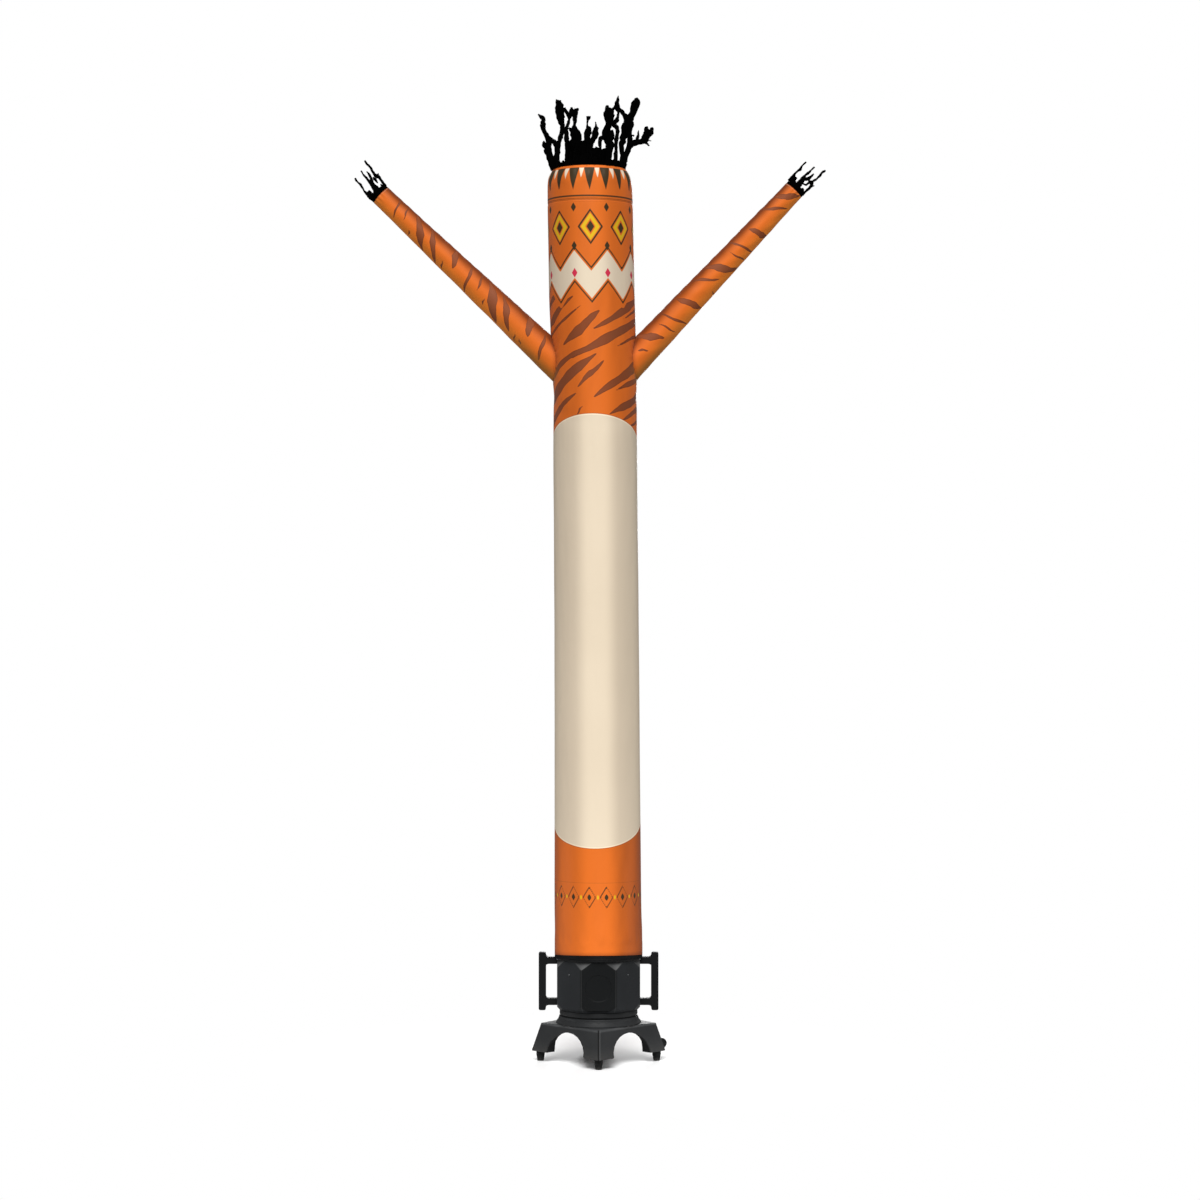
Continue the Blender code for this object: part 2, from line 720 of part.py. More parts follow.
def build_gland(rubber):
    """The rounded grommet for the supply cord, low on the back of the right leg.
    Its axis is square to the leaning face that it sits on."""
    height, along, radius, reach = 0.050, 0.130, 0.019, 0.035
    lean = (BASE_CORNER_LOW - BASE_CORNER_HIGH) * math.cos(math.pi / 4) / (DECK - FOOT_HEIGHT)
    face = BASE_CORNER_LOW * math.cos(math.pi / 4) - (height - FOOT_HEIGHT) * lean
    profile = (
        (radius, 0.0),
        (radius, reach * 0.45),
        (radius * 0.92, reach * 0.72),
        (radius * 0.72, reach * 0.92),
        (radius * 0.45, reach),
        (0.0045, reach),
        (0.0045, reach * 0.4),
    )
    gland = add_object("cord_gland", turned(profile, 16), rubber, 30)
    outward = Vector((math.sqrt(0.5), math.sqrt(0.5), lean)).normalized()
    seat = Vector((math.sqrt(0.5), math.sqrt(0.5), 0)) * face
    seat += Vector((math.sqrt(0.5), -math.sqrt(0.5), 0)) * along
    seat.z = height
    gland.rotation_mode = "QUATERNION"
    gland.rotation_quaternion = outward.to_track_quat("Z", "Y")
    gland.location = seat + outward * (GAP + 0.0001)
    return gland


def move_to_axis():
    """Puts every piece and helper on the blower's axis, under one empty."""
    holder = bpy.data.objects.new("air_dancer", None)
    holder.location = (AXIS_X, 0, 0)
    for piece in bpy.data.objects:
        if piece != holder:
            piece.parent = holder
    bpy.context.scene.collection.objects.link(holder)


def main():
    clear_scene()
    cloth = material("orange nylon cloth", (0.84, 0.22, 0.04), 0.55)
    black = material("black nylon cloth", (0.012, 0.012, 0.012), 0.6)
    plastic = material("charcoal moulded plastic", (0.035, 0.036, 0.037), 0.45)
    dark = material("black plastic", (0.014, 0.015, 0.015), 0.4)
    rubber = material("black rubber", (0.012, 0.012, 0.012), 0.7)

    tube_solid = helper("tube_and_seam_room", loft(tube_rings(GAP + 0.0001)))
    build_tube(cloth)
    build_cap(cloth)
    build_hair(black)
    for name, arm in ARMS.items():
        build_arm(name, arm, cloth, tube_solid)
        build_hand(name, arm, black)

    build_base(plastic)
    build_neck(plastic)
    build_drum(plastic)
    build_outlet(dark)
    build_gland(rubber)
    build_handles(dark)
    build_feet(rubber)
    move_to_axis()


main()
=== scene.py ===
"""The inflatable air dancer on its floor blower, dressed for rendering.

Metres, +Z up, the dancer faces -Y. Cloth pieces are thin closed skins worked
out on grids of two parameters, and the print is held as signed distances in
attributes: below zero is inside a printed mark. The blower is moulded plastic.
"""

import math

import bmesh
import bpy
import numpy as np
from mathutils import Matrix, Vector


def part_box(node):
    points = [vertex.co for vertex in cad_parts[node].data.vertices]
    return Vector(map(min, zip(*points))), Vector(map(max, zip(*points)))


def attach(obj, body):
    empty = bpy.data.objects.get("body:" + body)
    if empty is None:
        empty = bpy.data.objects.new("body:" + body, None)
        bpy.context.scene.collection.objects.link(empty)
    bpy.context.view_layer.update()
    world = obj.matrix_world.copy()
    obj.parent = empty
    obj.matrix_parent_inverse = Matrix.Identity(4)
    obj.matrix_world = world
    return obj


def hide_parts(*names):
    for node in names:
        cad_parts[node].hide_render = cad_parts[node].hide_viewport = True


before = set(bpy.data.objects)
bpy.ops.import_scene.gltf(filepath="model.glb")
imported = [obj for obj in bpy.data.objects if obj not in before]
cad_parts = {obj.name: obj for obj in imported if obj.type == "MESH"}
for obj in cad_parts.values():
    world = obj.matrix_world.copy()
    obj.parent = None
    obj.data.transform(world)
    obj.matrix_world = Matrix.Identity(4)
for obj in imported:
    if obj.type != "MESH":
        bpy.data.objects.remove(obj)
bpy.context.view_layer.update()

# ---- the photograph's view --------------------------------------------------
AXIS = float(sum(corner.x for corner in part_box("outlet_ring")) / 2)  # blower's axis
METRES_PER_PIXEL = 0.0035       # at the blower's axis
PICTURE = 1200
CAMERA_HEIGHT = 1.611           # the picture's middle, above the floor
CAMERA_ASIDE = 0.005            # and right of the axis
CAMERA_AWAY = 10.27
SENSOR = 36.0                   # millimetres


def make_camera():
    """A level camera whose frame is as wide, at the dancer, as the picture."""
    data = bpy.data.cameras.new("camera")
    data.sensor_width = SENSOR
    data.lens = SENSOR * CAMERA_AWAY / (PICTURE * METRES_PER_PIXEL)
    camera = bpy.data.objects.new("camera", data)
    camera.location = (AXIS + CAMERA_ASIDE, -CAMERA_AWAY, CAMERA_HEIGHT)
    camera.rotation_euler = (math.radians(90), 0, 0)
    bpy.context.scene.collection.objects.link(camera)
    bpy.context.scene.camera = camera


make_camera()

# ---- sizes of the cloth, as cut and blown up --------------------------------
CLOTH = 0.0015                  # thickness
SEWN_IN = 0.0035                # how far a sleeve's edge goes on inside the armhole
ABOVE_WALL = 0.0004             # how far off the tube's wall a sleeve's seam is drawn
HEM_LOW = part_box("tube_body")[0].z
COLLAR_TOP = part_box("outlet_ring")[1].z
# tube: height, how far its middle stands to the right of the axis, radius
TUBE_SECTIONS = np.array(
    [
        (HEM_LOW, 0.0000, 0.1536),
        (0.411, 0.0000, 0.1536),
        (0.560, -0.0020, 0.1526),
        (0.740, -0.0030, 0.1520),
        (0.910, -0.0044, 0.1507),
        (1.260, -0.0063, 0.1488),
        (1.610, -0.0077, 0.1475),
        (2.136, -0.0108, 0.1475),
        (2.346, -0.0115, 0.1474),
        (2.480, -0.0160, 0.1490),
        (2.626, -0.0217, 0.1505),
        (2.836, -0.0268, 0.1493),
        (3.011, -0.0303, 0.1490),
        (3.060, -0.0312, 0.1480),
    ]
)
# rounded shoulder of the head: share of the way up it, height, radius, and how
# far its outer side faces up, in degrees
SHOULDER = np.array(
    [
        (0.00, 3.0600, 0.1480, 4),
        (0.28, 3.0800, 0.1450, 16),
        (0.53, 3.0970, 0.1392, 30),
        (0.74, 3.1085, 0.1325, 42),
        (1.00, 3.1155, 0.1263, 88),
    ]
)
SHOULDER_FOOT = SHOULDER[0, 1]
SHOULDER_ARC = 0.062            # length of the shoulder, along the cloth
HEAD_LEAN = -0.0318             # the head's middle, right of the axis
SEAM_Z = SHOULDER[-1, 1]
SEAM_RADIUS = SHOULDER[-1, 2]
# sleeves: side, hand's end from the axis and over the floor, slope in degrees,
# radius at the hand, and how much it grows with each metre back from there
ARMS = {
    "left": dict(side=-1, end=(-0.7609, 3.0270), rise=43.6, tip=0.0362, widen=0.0239),
    "right": dict(side=1, end=(0.6825, 3.0440), rise=46.8, tip=0.0357, widen=0.0227),
}
PRINT_RADIUS = 0.150            # the print is laid out on a tube of this radius
ROUND = 2 * math.pi * PRINT_RADIUS
SLEEVE_PRINT_RADIUS = 0.0455
LEVEL_SEAM = 2.993              # height of the level seam round the head
HEM_STITCH = 0.395              # height of the hem's two rows of stitches


# ---- small formulas -----------------------------------------------------------
def cubic(t, start, start_slope, end, end_slope):
    """The cubic that goes from start to end as t goes from 0 to 1, with the
    given slopes at its two ends."""
    return (
        (2 * t**3 - 3 * t**2 + 1) * start
        + (t**3 - 2 * t**2 + t) * start_slope
        + (3 * t**2 - 2 * t**3) * end
        + (t**3 - t**2) * end_slope
    )


def follow(table, column, at):
    """A cubic curve through one column of a table against its first column,
    with the table's own even slope at each row."""
    x, y = table[:, 0], table[:, column]
    slope = np.gradient(y, x)
    at = np.asarray(at, float)
    i = np.clip(np.searchsorted(x, at) - 1, 0, len(x) - 2)
    width = x[i + 1] - x[i]
    t = (at - x[i]) / width
    return cubic(t, y[i], width * slope[i], y[i + 1], width * slope[i + 1])


def fade(value, low, high):
    """0 below low, 1 above high, and a soft step between."""
    t = np.clip((value - low) / (high - low), 0, 1)
    return t * t * (3 - 2 * t)


def bell(value, middle, width):
    """1 at the middle, and 1/e at a width to either side of it."""
    return np.exp(-(((value - middle) / width) ** 2))


def wrap(distance, period):
    """The same distance round a loop, between minus and plus half the period."""
    return (distance + period / 2) % period - period / 2


def outward(turn):
    """Level unit vectors away from an axis, at bearings from the front."""
    return np.stack([np.sin(turn), -np.cos(turn), 0 * turn], -1)


def waver(a, b, seed):
    """Smooth uneven values near -1 to 1: three sine waves across each other in
    each of three octaves, and each octave 0.55 as strong as the one before."""
    rng = np.random.default_rng(seed)
    total, weight, sum_weight = 0.0, 1.0, 0.0
    for octave in range(3):
        for _ in range(3):
            p, q, start = rng.uniform(0.5, 1.5), rng.uniform(-1.5, 1.5), rng.uniform(0, 6.28)
            total = total + weight * np.sin(p * a * 2**octave + q * b * 2**octave + start)
            sum_weight += weight
        weight *= 0.55
    return total / sum_weight * 1.8


# ---- meshes from grids --------------------------------------------------------
def put_mesh(name, points, faces, material, uv=None, marks=None, sharp=None):
    """An object at the origin from points (n, 3) and blocks of faces, each
    (count, corners). uv holds a pair for each face corner, in the same order,
    and marks holds named numbers for the points."""
    mesh = bpy.data.meshes.new(name)
    points = np.asarray(points, np.float32).reshape(-1, 3)
    corners = np.concatenate([block.ravel() for block in faces]).astype(np.int32)
    sizes = np.concatenate([np.full(len(block), block.shape[1]) for block in faces])
    starts = np.concatenate([[0], np.cumsum(sizes)[:-1]]).astype(np.int32)
    mesh.vertices.add(len(points))
    mesh.vertices.foreach_set("co", points.ravel())
    mesh.loops.add(len(corners))
    mesh.loops.foreach_set("vertex_index", corners)
    mesh.polygons.add(len(sizes))
    mesh.polygons.foreach_set("loop_start", starts)
    if uv is not None:
        layer = mesh.uv_layers.new(name="cloth")
        layer.uv.foreach_set("vector", np.asarray(uv, np.float32).ravel())
    for key, values in (marks or {}).items():
        made = mesh.attributes.new(key, "FLOAT", "POINT")
        made.data.foreach_set("value", np.asarray(values, np.float32).ravel())
    mesh.update(calc_edges=True)
    mesh.shade_smooth()
    if sharp:
        mesh.set_sharp_from_angle(angle=math.radians(sharp))
    mesh.materials.append(material)
    made = bpy.data.objects.new(name, mesh)
    bpy.context.scene.collection.objects.link(made)
    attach(made, "root")
    return made


def grid_faces(rows, columns, start=0, loop_rows=False, loop_columns=True):
    """Four-cornered faces between the points of a grid, numbered row by row.
    Their outer side is across columns times up rows."""
    i = np.arange(rows if loop_rows else rows - 1)
    j = np.arange(columns if loop_columns else columns - 1)
    i, j = np.meshgrid(i, j, indexing="ij")
    n, m = (i + 1) % rows, (j + 1) % columns
    block = [i * columns + j, i * columns + m, n * columns + m, n * columns + j]
    return np.stack(block, -1).reshape(-1, 4) + start


def cloth_skin(name, outer, inner, coarse, uv, material, marks):
    """A thin closed wall round a hollow: a fine outer grid and an inner one at
    a few of its rows, coarse, joined by a rim at each end. uv is (rows,
    columns + 1, 2) for the outer grid, and the inner and rims reuse its rows."""
    rows, columns = outer.shape[:2]
    low_rows = inner.shape[0]
    first = rows * columns
    j = np.arange(columns)
    n = (j + 1) % columns
    top_out, top_in = (rows - 1) * columns, first + (low_rows - 1) * columns
    rim_low = np.stack([j, first + j, first + n, n], -1)
    rim_high = np.stack([top_out + j, top_out + n, top_in + n, top_in + j], -1)
    inside = grid_faces(low_rows, columns, first)[:, ::-1]
    faces = np.concatenate([grid_faces(rows, columns), inside, rim_low, rim_high])

    def corner_uv(grid):
        """Pairs for the four corners of every face of a grid."""
        parts = [grid[:-1, :-1], grid[:-1, 1:], grid[1:, 1:], grid[1:, :-1]]
        return np.stack(parts, 2).reshape(-1, 4, 2)

    def rim_uv(row, order):
        """Pairs for an end's rim, whose corners all take the end row's."""
        ends = [uv[row, :-1], uv[row, 1:]]
        return np.stack([ends[k] for k in order], 1)

    pairs = np.concatenate(
        [
            corner_uv(uv),
            corner_uv(uv[coarse])[:, ::-1],
            rim_uv(0, (0, 0, 1, 1)),
            rim_uv(-1, (0, 1, 1, 0)),
        ]
    )
    points = np.concatenate([outer.reshape(-1, 3), inner.reshape(-1, 3)])
    full = {}
    for key, (values, plain) in marks.items():
        full[key] = np.concatenate([values.ravel(), np.full(low_rows * columns, plain)])
    return put_mesh(name, points, [faces], material, pairs, full, sharp=60)


def behind_folds(folds, rows):
    """For a few of a skin's rows, the deepest fold within reach of each point:
    from the row before to the row after, and one column to each side. A coarse
    inner wall that stands behind it never cuts through the fine outer one."""
    deepest = np.minimum.reduce([np.roll(folds, shift, axis=1) for shift in (-1, 0, 1)])
    ends = np.concatenate([[0], rows, [len(folds) - 1]])
    return np.array([deepest[low : high + 1].min(0) for low, high in zip(ends, ends[2:])])


def lathe(name, profile, sides, material, middle=(AXIS, 0.0), closed=True, place=None):
    """Spins a profile of (radius, height) rows about an upright axis through
    middle, or about the Z axis of a placing matrix. A closed profile makes a
    ring, and an open one starts and ends on the axis."""
    profile = np.asarray(profile, float)
    around = outward(np.linspace(0, 2 * math.pi, sides, endpoint=False))
    body = profile if closed else profile[1:-1]
    points = (around * body[:, None, :1] + np.array([0, 0, 1]) * body[:, None, 1:]).reshape(-1, 3)
    faces = [grid_faces(len(body), sides, loop_rows=closed)]
    if not closed:
        j = np.arange(sides)
        n = (j + 1) % sides
        low, high = len(points), len(points) + 1
        ends = [(0, 0, profile[0, 1]), (0, 0, profile[-1, 1])]
        points = np.concatenate([points, ends])
        last = (len(body) - 1) * sides
        faces.append(np.stack([n, j, low + 0 * j], -1))
        faces.append(np.stack([last + j, last + n, high + 0 * j], -1))
    if place is not None:
        points = points @ np.array(place.to_3x3()).T + np.array(place.translation)
    else:
        points = points + (*middle, 0)
    return put_mesh(name, points, faces, material, sharp=35)


def round_corners(profile, radius, steps=3, closed=True):
    """Each corner of a profile becomes a curve that leaves its two sides at
    radius from the corner, or at 45% of the side where that is shorter: a
    parabola drawn towards the corner."""
    p = np.asarray(profile, float)
    made = []
    for k in range(len(p)):
        if not closed and k in (0, len(p) - 1):
            made.append(p[k])
            continue
        before, after = p[k - 1] - p[k], p[(k + 1) % len(p)] - p[k]
        a = p[k] + before * min(0.45, radius / np.hypot(*before))
        b = p[k] + after * min(0.45, radius / np.hypot(*after))
        for t in np.linspace(0, 1, steps + 1):
            made.append((1 - t) ** 2 * a + 2 * t * (1 - t) * p[k] + t**2 * b)
    return np.array(made)


# ---- node trees -----------------------------------------------------------------
class Finish:
    """Builds one material's nodes: each call adds a node and gives its output."""

    def __init__(self, name):
        """An empty material, with its shader and the place that is shaded."""
        self.material = bpy.data.materials.new(name)
        self.material.use_nodes = True
        self.tree = self.material.node_tree
        self.shader = self.tree.nodes["Principled BSDF"]
        self.where = self.add("ShaderNodeTexCoord").outputs["Object"]

    def add(self, kind, **settings):
        """A new node with its settings."""
        made = self.tree.nodes.new(kind)
        for key, value in settings.items():
            setattr(made, key, value)
        return made

    def feed(self, socket, value):
        """Links another node's output to a socket, or sets a plain value on it."""
        if isinstance(value, bpy.types.NodeSocket):
            self.tree.links.new(value, socket)
        else:
            socket.default_value = value

    def sums(self, operation, *values):
        """One step of arithmetic."""
        made = self.add("ShaderNodeMath", operation=operation)
        for socket, value in zip(made.inputs, values):
            self.feed(socket, value)
        return made.outputs[0]

    def mark(self, name):
        """One of the numbers that the mesh holds for its points."""
        return self.add("ShaderNodeAttribute", attribute_name=name).outputs["Fac"]

    def place(self):
        """The point's X, Y and Z in the part's frame."""
        split = self.add("ShaderNodeSeparateXYZ")
        self.feed(split.inputs[0], self.where)
        return split.outputs

    def step(self, value, start, end, low=0.0, high=1.0):
        """Goes from low to high as value goes from start to end."""
        made = self.add("ShaderNodeMapRange", interpolation_type="SMOOTHSTEP")
        given = {"Value": value, "From Min": start, "From Max": end, "To Min": low, "To Max": high}
        for key, number in given.items():
            self.feed(made.inputs[key], number)
        return made.outputs["Result"]

    def mix(self, share, a, b, blend="MIX"):
        """Colour a, with its share of b over it."""
        made = self.add("ShaderNodeMix", data_type="RGBA", blend_type=blend)
        made.clamp_factor = True
        for socket, value in ((made.inputs[0], share), (made.inputs[6], a), (made.inputs[7], b)):
            if isinstance(value, tuple) and len(value) == 3:
                value = (*value, 1.0)
            self.feed(socket, value)
        return made.outputs[2]

    def noise(self, scale, detail=3.0, where=None, stretch=None, roughness=0.5):
        """Cloudy noise, scale patches to a metre, closer along a stretched axis."""
        made = self.add("ShaderNodeTexNoise")
        where = where or self.where
        if stretch:
            mapping = self.add("ShaderNodeMapping")
            mapping.inputs["Scale"].default_value = stretch
            self.feed(mapping.inputs["Vector"], where)
            where = mapping.outputs["Vector"]
        self.feed(made.inputs["Vector"], where)
        made.inputs["Scale"].default_value = scale
        made.inputs["Detail"].default_value = detail
        made.inputs["Roughness"].default_value = roughness
        return made.outputs["Fac"]

    def bump(self, height, depth, strength, under=None):
        """A surface normal tilted by a height of up to depth metres, over another."""
        made = self.add("ShaderNodeBump")
        made.inputs["Strength"].default_value = strength
        made.inputs["Distance"].default_value = depth
        self.feed(made.inputs["Height"], height)
        if under is not None:
            self.feed(made.inputs["Normal"], under)
        return made.outputs["Normal"]

    def set(self, **values):
        """Feeds the shader's named sockets, and gives the material."""
        for key, value in values.items():
            self.feed(self.shader.inputs[key.replace("_", " ")], value)
        return self.material


def linear(red, green, blue):
    """A screen colour of 0 to 255 as the linear colour that shaders take."""
    share = np.array([red, green, blue]) / 255
    return tuple(float(v) for v in np.where(share > 0.04045, ((share + 0.055) / 1.055) ** 2.4, share / 12.92))


ORANGE = linear(232, 115, 36)
ORANGE_DEEP = linear(222, 107, 31)
STRIPE_BROWN = linear(140, 73, 40)
STRIPE_EDGE = linear(96, 48, 28)
CREAM = linear(239, 222, 196)
CREAM_DEEP = linear(230, 213, 187)
INK = linear(66, 52, 30)
AMBER = linear(236, 190, 30)
ROSE = linear(218, 52, 82)
OLIVE = linear(170, 116, 36)
# OCHRE is bright enough to stand in for light on the sleeves' shaded undersides
OCHRE = linear(255, 150, 48)
INK_SOFT = 0.0009               # how far the edge of a printed mark blurs
RIPSTOP = 0.0055                # from one heavier thread to the next
STITCH = 0.0034                 # from one stitch to the next
BESIDE_SEAM = 0.006             # how far from a seam its stitches run


def nylon_height(finish):
    """The cloth's face: ripstop squares of heavier threads over a fine weave,
    as heights from 0 to 1, in the cloth's own UV metres."""
    uv = finish.add("ShaderNodeUVMap", uv_map="cloth").outputs["UV"]
    split = finish.add("ShaderNodeSeparateXYZ")
    finish.feed(split.inputs[0], uv)
    threads = []
    for axis in ("X", "Y"):
        count = finish.sums("MULTIPLY", split.outputs[axis], 1 / RIPSTOP)
        line = finish.sums("PINGPONG", count, 0.5)
        threads.append(finish.step(line, 0.05, 0.0))
    grid = finish.sums("MAXIMUM", *threads)
    fine = finish.noise(2600.0, 1.0, uv)
    return finish.sums("ADD", finish.sums("MULTIPLY", grid, 0.7), finish.sums("MULTIPLY", fine, 0.3))


def printed_nylon():
    """Coated nylon, printed. Marks are painted in order, each where its signed
    distance is below zero, with an edge as soft as the ink's."""
    finish = Finish("printed_orange_nylon")
    slow = finish.noise(2.2, 2.0)
    cloudy = finish.noise(9.0, 3.0, stretch=(1.0, 1.0, 0.5))
    colour = finish.mix(finish.step(slow, 0.35, 0.7, 0.0, 0.45), ORANGE, ORANGE_DEEP)
    colour = finish.mix(finish.step(cloudy, 0.45, 0.75, 0.0, 0.2), colour, linear(236, 118, 36))
    # the ochre band: print, made bright as painted light under the sleeves
    colour = finish.mix(finish.mark("ochre"), colour, OCHRE)
    # the shade mark is painted shade, darker where shade falls
    colour = finish.mix(finish.mark("shade"), colour, linear(112, 50, 17))

    stripe = finish.mark("stripe")
    grain = finish.noise(60.0, 3.0)
    ragged = finish.sums("MULTIPLY", finish.sums("SUBTRACT", grain, 0.5), 0.0022)
    edge = finish.sums("ADD", stripe, ragged)
    inside = finish.step(edge, INK_SOFT, -INK_SOFT)
    rim = finish.step(edge, -0.0035, -0.0002, 0.0, 0.8)
    brown = finish.mix(rim, STRIPE_BROWN, STRIPE_EDGE)
    brown = finish.mix(finish.step(cloudy, 0.4, 0.7, 0.0, 0.3), brown, linear(140, 84, 56))
    colour = finish.mix(inside, colour, brown)

    # the belly panel: a dark line outside its edge, a pale one on it
    belly = finish.mark("belly")
    cream = finish.mix(finish.step(slow, 0.4, 0.65, 0.0, 0.35), CREAM, CREAM_DEEP)
    colour = finish.mix(finish.step(belly, 0.0085, 0.0045, 0.0, 0.45), colour, linear(120, 52, 20))
    colour = finish.mix(finish.step(belly, 0.0050, 0.0038), colour, linear(255, 238, 208))
    colour = finish.mix(finish.step(belly, INK_SOFT, -INK_SOFT), colour, cream)

    for name, paint in (("cream", cream), ("dark", INK), ("amber", AMBER), ("rose", ROSE)):
        colour = finish.mix(finish.step(finish.mark(name), INK_SOFT, -INK_SOFT), colour, paint)

    colour = finish.mix(finish.mark("olive"), colour, OLIVE)
    # painted shade on the tube's sides, multiplied in
    colour = finish.mix(finish.mark("side"), colour, (0.78, 0.77, 0.77), "MULTIPLY")

    # sewing: a dark pressed line at each seam, and a row of thread beside it
    seam = finish.mark("seam")
    run = finish.mark("run")
    pressed = finish.step(seam, 0.0016, 0.0002)
    beside = finish.sums("ABSOLUTE", finish.sums("SUBTRACT", seam, BESIDE_SEAM))
    dash = finish.sums("PINGPONG", finish.sums("MULTIPLY", run, 1 / STITCH), 0.5)
    stitch = finish.sums("MULTIPLY", finish.step(beside, 0.0008, 0.0004), finish.step(dash, 0.12, 0.2))
    colour = finish.mix(finish.sums("MULTIPLY", pressed, 0.55), colour, linear(80, 34, 16))
    colour = finish.mix(finish.sums("MULTIPLY", stitch, 0.6), colour, linear(196, 84, 26))

    weave = nylon_height(finish)
    crumple = finish.noise(34.0, 4.0, stretch=(1.0, 1.0, 0.6), roughness=0.55)
    normal = finish.bump(crumple, 0.0016, 0.35)
    normal = finish.bump(weave, 0.00012, 0.5, normal)
    sewn = finish.sums("SUBTRACT", stitch, pressed)
    normal = finish.bump(sewn, 0.0006, 0.8, normal)
    shine = finish.step(cloudy, 0.3, 0.7, 0.46, 0.56)
    return finish.set(
        Base_Color=colour, Roughness=shine, Normal=normal, Sheen_Weight=0.03, Specular_IOR_Level=0.16
    )


def black_nylon():
    """Cut black nylon: near black, with a faint nap, threads along each strip
    and a greyer frayed edge."""
    finish = Finish("black_cut_nylon")
    nap = finish.noise(320.0, 2.0, stretch=(1.0, 1.0, 0.2))
    blotch = finish.noise(26.0, 2.0)
    colour = finish.mix(finish.step(blotch, 0.35, 0.75, 0.0, 0.8), linear(1, 1, 1), linear(3, 3, 3))
    fray = finish.step(finish.mark("edge"), 0.0012, 0.0)
    colour = finish.mix(finish.sums("MULTIPLY", fray, 0.5), colour, linear(10, 10, 11))
    normal = finish.bump(nap, 0.0005, 0.5)
    return finish.set(
        Base_Color=colour, Roughness=0.7, Normal=normal, Sheen_Weight=0.0, Specular_IOR_Level=0.01
    )


def plastic_marks(finish, cloudy=7.0, scuffed=38.0, drawn_out=9.0):
    """What moulded plastic shows: slow cloudiness from the mould, fine spark
    grain, and long thin scuffs."""
    cloud = finish.noise(cloudy, 3.0)
    grain = finish.noise(850.0, 2.0)
    scuffs = finish.noise(scuffed, 6.0, stretch=(1.0, 1.0, drawn_out), roughness=0.7)
    return cloud, grain, scuffs


def plastic_face(finish, grain, scuffs, rough=0.5, scratch_depth=0.00025, scratch=0.25):
    """The grain's fine relief with the scuffs cut into it."""
    normal = finish.bump(grain, 0.00016, rough)
    return finish.bump(scuffs, scratch_depth, scratch, normal)


def moulded_plastic(name, colour, roughness, rough=0.5, dusty=0.25, dark_below=None):
    """Satin moulded plastic, with a little dust that gathers low down. It is
    near black under the height dark_below, where a gap shades it."""
    finish = Finish(name)
    cloud, grain, scuffs = plastic_marks(finish)
    lighter = tuple(v * 1.35 + 0.001 for v in colour)
    shown = finish.mix(finish.step(cloud, 0.35, 0.7, 0.0, 0.6), colour, lighter)
    scuffed = finish.step(scuffs, 0.66, 0.74, 0.0, 0.35)
    shown = finish.mix(scuffed, shown, tuple(v * 1.9 + 0.004 for v in colour))
    z = finish.place()["Z"]
    low = finish.step(z, 0.16, 0.0, 0.0, dusty)
    dust = finish.sums("MULTIPLY", low, finish.noise(24.0, 5.0))
    shown = finish.mix(dust, shown, linear(118, 112, 104))
    if dark_below:
        gap = finish.step(z, dark_below + 0.0006, dark_below - 0.0002)
        shown = finish.mix(gap, shown, linear(8, 8, 9))
    normal = plastic_face(finish, grain, scuffs, rough)
    shine = finish.step(cloud, 0.3, 0.7, roughness - 0.05, roughness + 0.08)
    return finish.set(Base_Color=shown, Roughness=shine, Normal=normal, Specular_IOR_Level=0.12)


def base_plastic(name, dark, pale):
    """The base's plastic: darker inside the arches, where little light comes,
    with a dark parting line and a paler strip beside it down each leg, and a painted highlight along the
    deck's rim."""
    finish = Finish(name)
    place = finish.place()
    x = finish.sums("SUBTRACT", place["X"], AXIS)
    y, z = place["Y"], place["Z"]
    turned = [finish.sums("ABSOLUTE", finish.sums(kind, x, y)) for kind in ("ADD", "SUBTRACT")]
    reach = finish.sums("MAXIMUM", *turned)
    # The four walls lean: |x| + |y| goes from 0.2448 at the floor to 0.203.
    wall = finish.sums("ADD", finish.sums("MULTIPLY", z, -0.3505), 0.2489)
    within = finish.step(finish.sums("SUBTRACT", wall, reach), 0.002, 0.010)
    below = finish.step(z, 0.128, 0.124)
    shaded = finish.sums("MULTIPLY", within, below)
    cloud, grain, scuffs = plastic_marks(finish)
    colour = finish.mix(finish.step(cloud, 0.35, 0.7), dark, pale)
    colour = finish.mix(finish.step(scuffs, 0.66, 0.74, 0.0, 0.3), colour, linear(62, 63, 64))
    # a painted highlight along the deck's rim
    rim = finish.sums("MULTIPLY", finish.step(z, 0.1235, 0.1290), finish.step(z, 0.1345, 0.1320))
    uneven = finish.step(finish.noise(16.0, 4.0), 0.3, 0.7, 0.35, 0.85)
    colour = finish.mix(finish.sums("MULTIPLY", rim, uneven), colour, linear(74, 75, 76))
    dust = finish.sums("MULTIPLY", finish.step(z, 0.08, 0.03, 0.0, 0.16), finish.noise(24.0, 5.0))
    colour = finish.mix(dust, colour, linear(118, 114, 108))
    # the parting line on the four corners, and a paler strip on its right
    off = finish.sums("MINIMUM", finish.sums("ABSOLUTE", x), finish.sums("ABSOLUTE", y))
    line = finish.sums("MULTIPLY", finish.step(off, 0.0034, 0.0026), finish.step(z, 0.1335, 0.1310))
    beside = finish.sums("MULTIPLY", finish.step(x, 0.0028, 0.0036), finish.step(x, 0.0072, 0.0048))
    beside = finish.sums("MULTIPLY", beside, finish.step(z, 0.1335, 0.1310, 0.0, 0.5))
    colour = finish.mix(beside, colour, linear(92, 93, 94))
    colour = finish.mix(finish.sums("MULTIPLY", line, 0.9), colour, linear(9, 9, 10))
    colour = finish.mix(shaded, colour, linear(13, 13, 14))
    normal = plastic_face(finish, grain, scuffs)
    normal = finish.bump(line, 0.0010, -0.6, normal)
    shine = finish.step(cloud, 0.3, 0.7, 0.52, 0.66)
    return finish.set(Base_Color=colour, Roughness=shine, Normal=normal, Specular_IOR_Level=0.14)


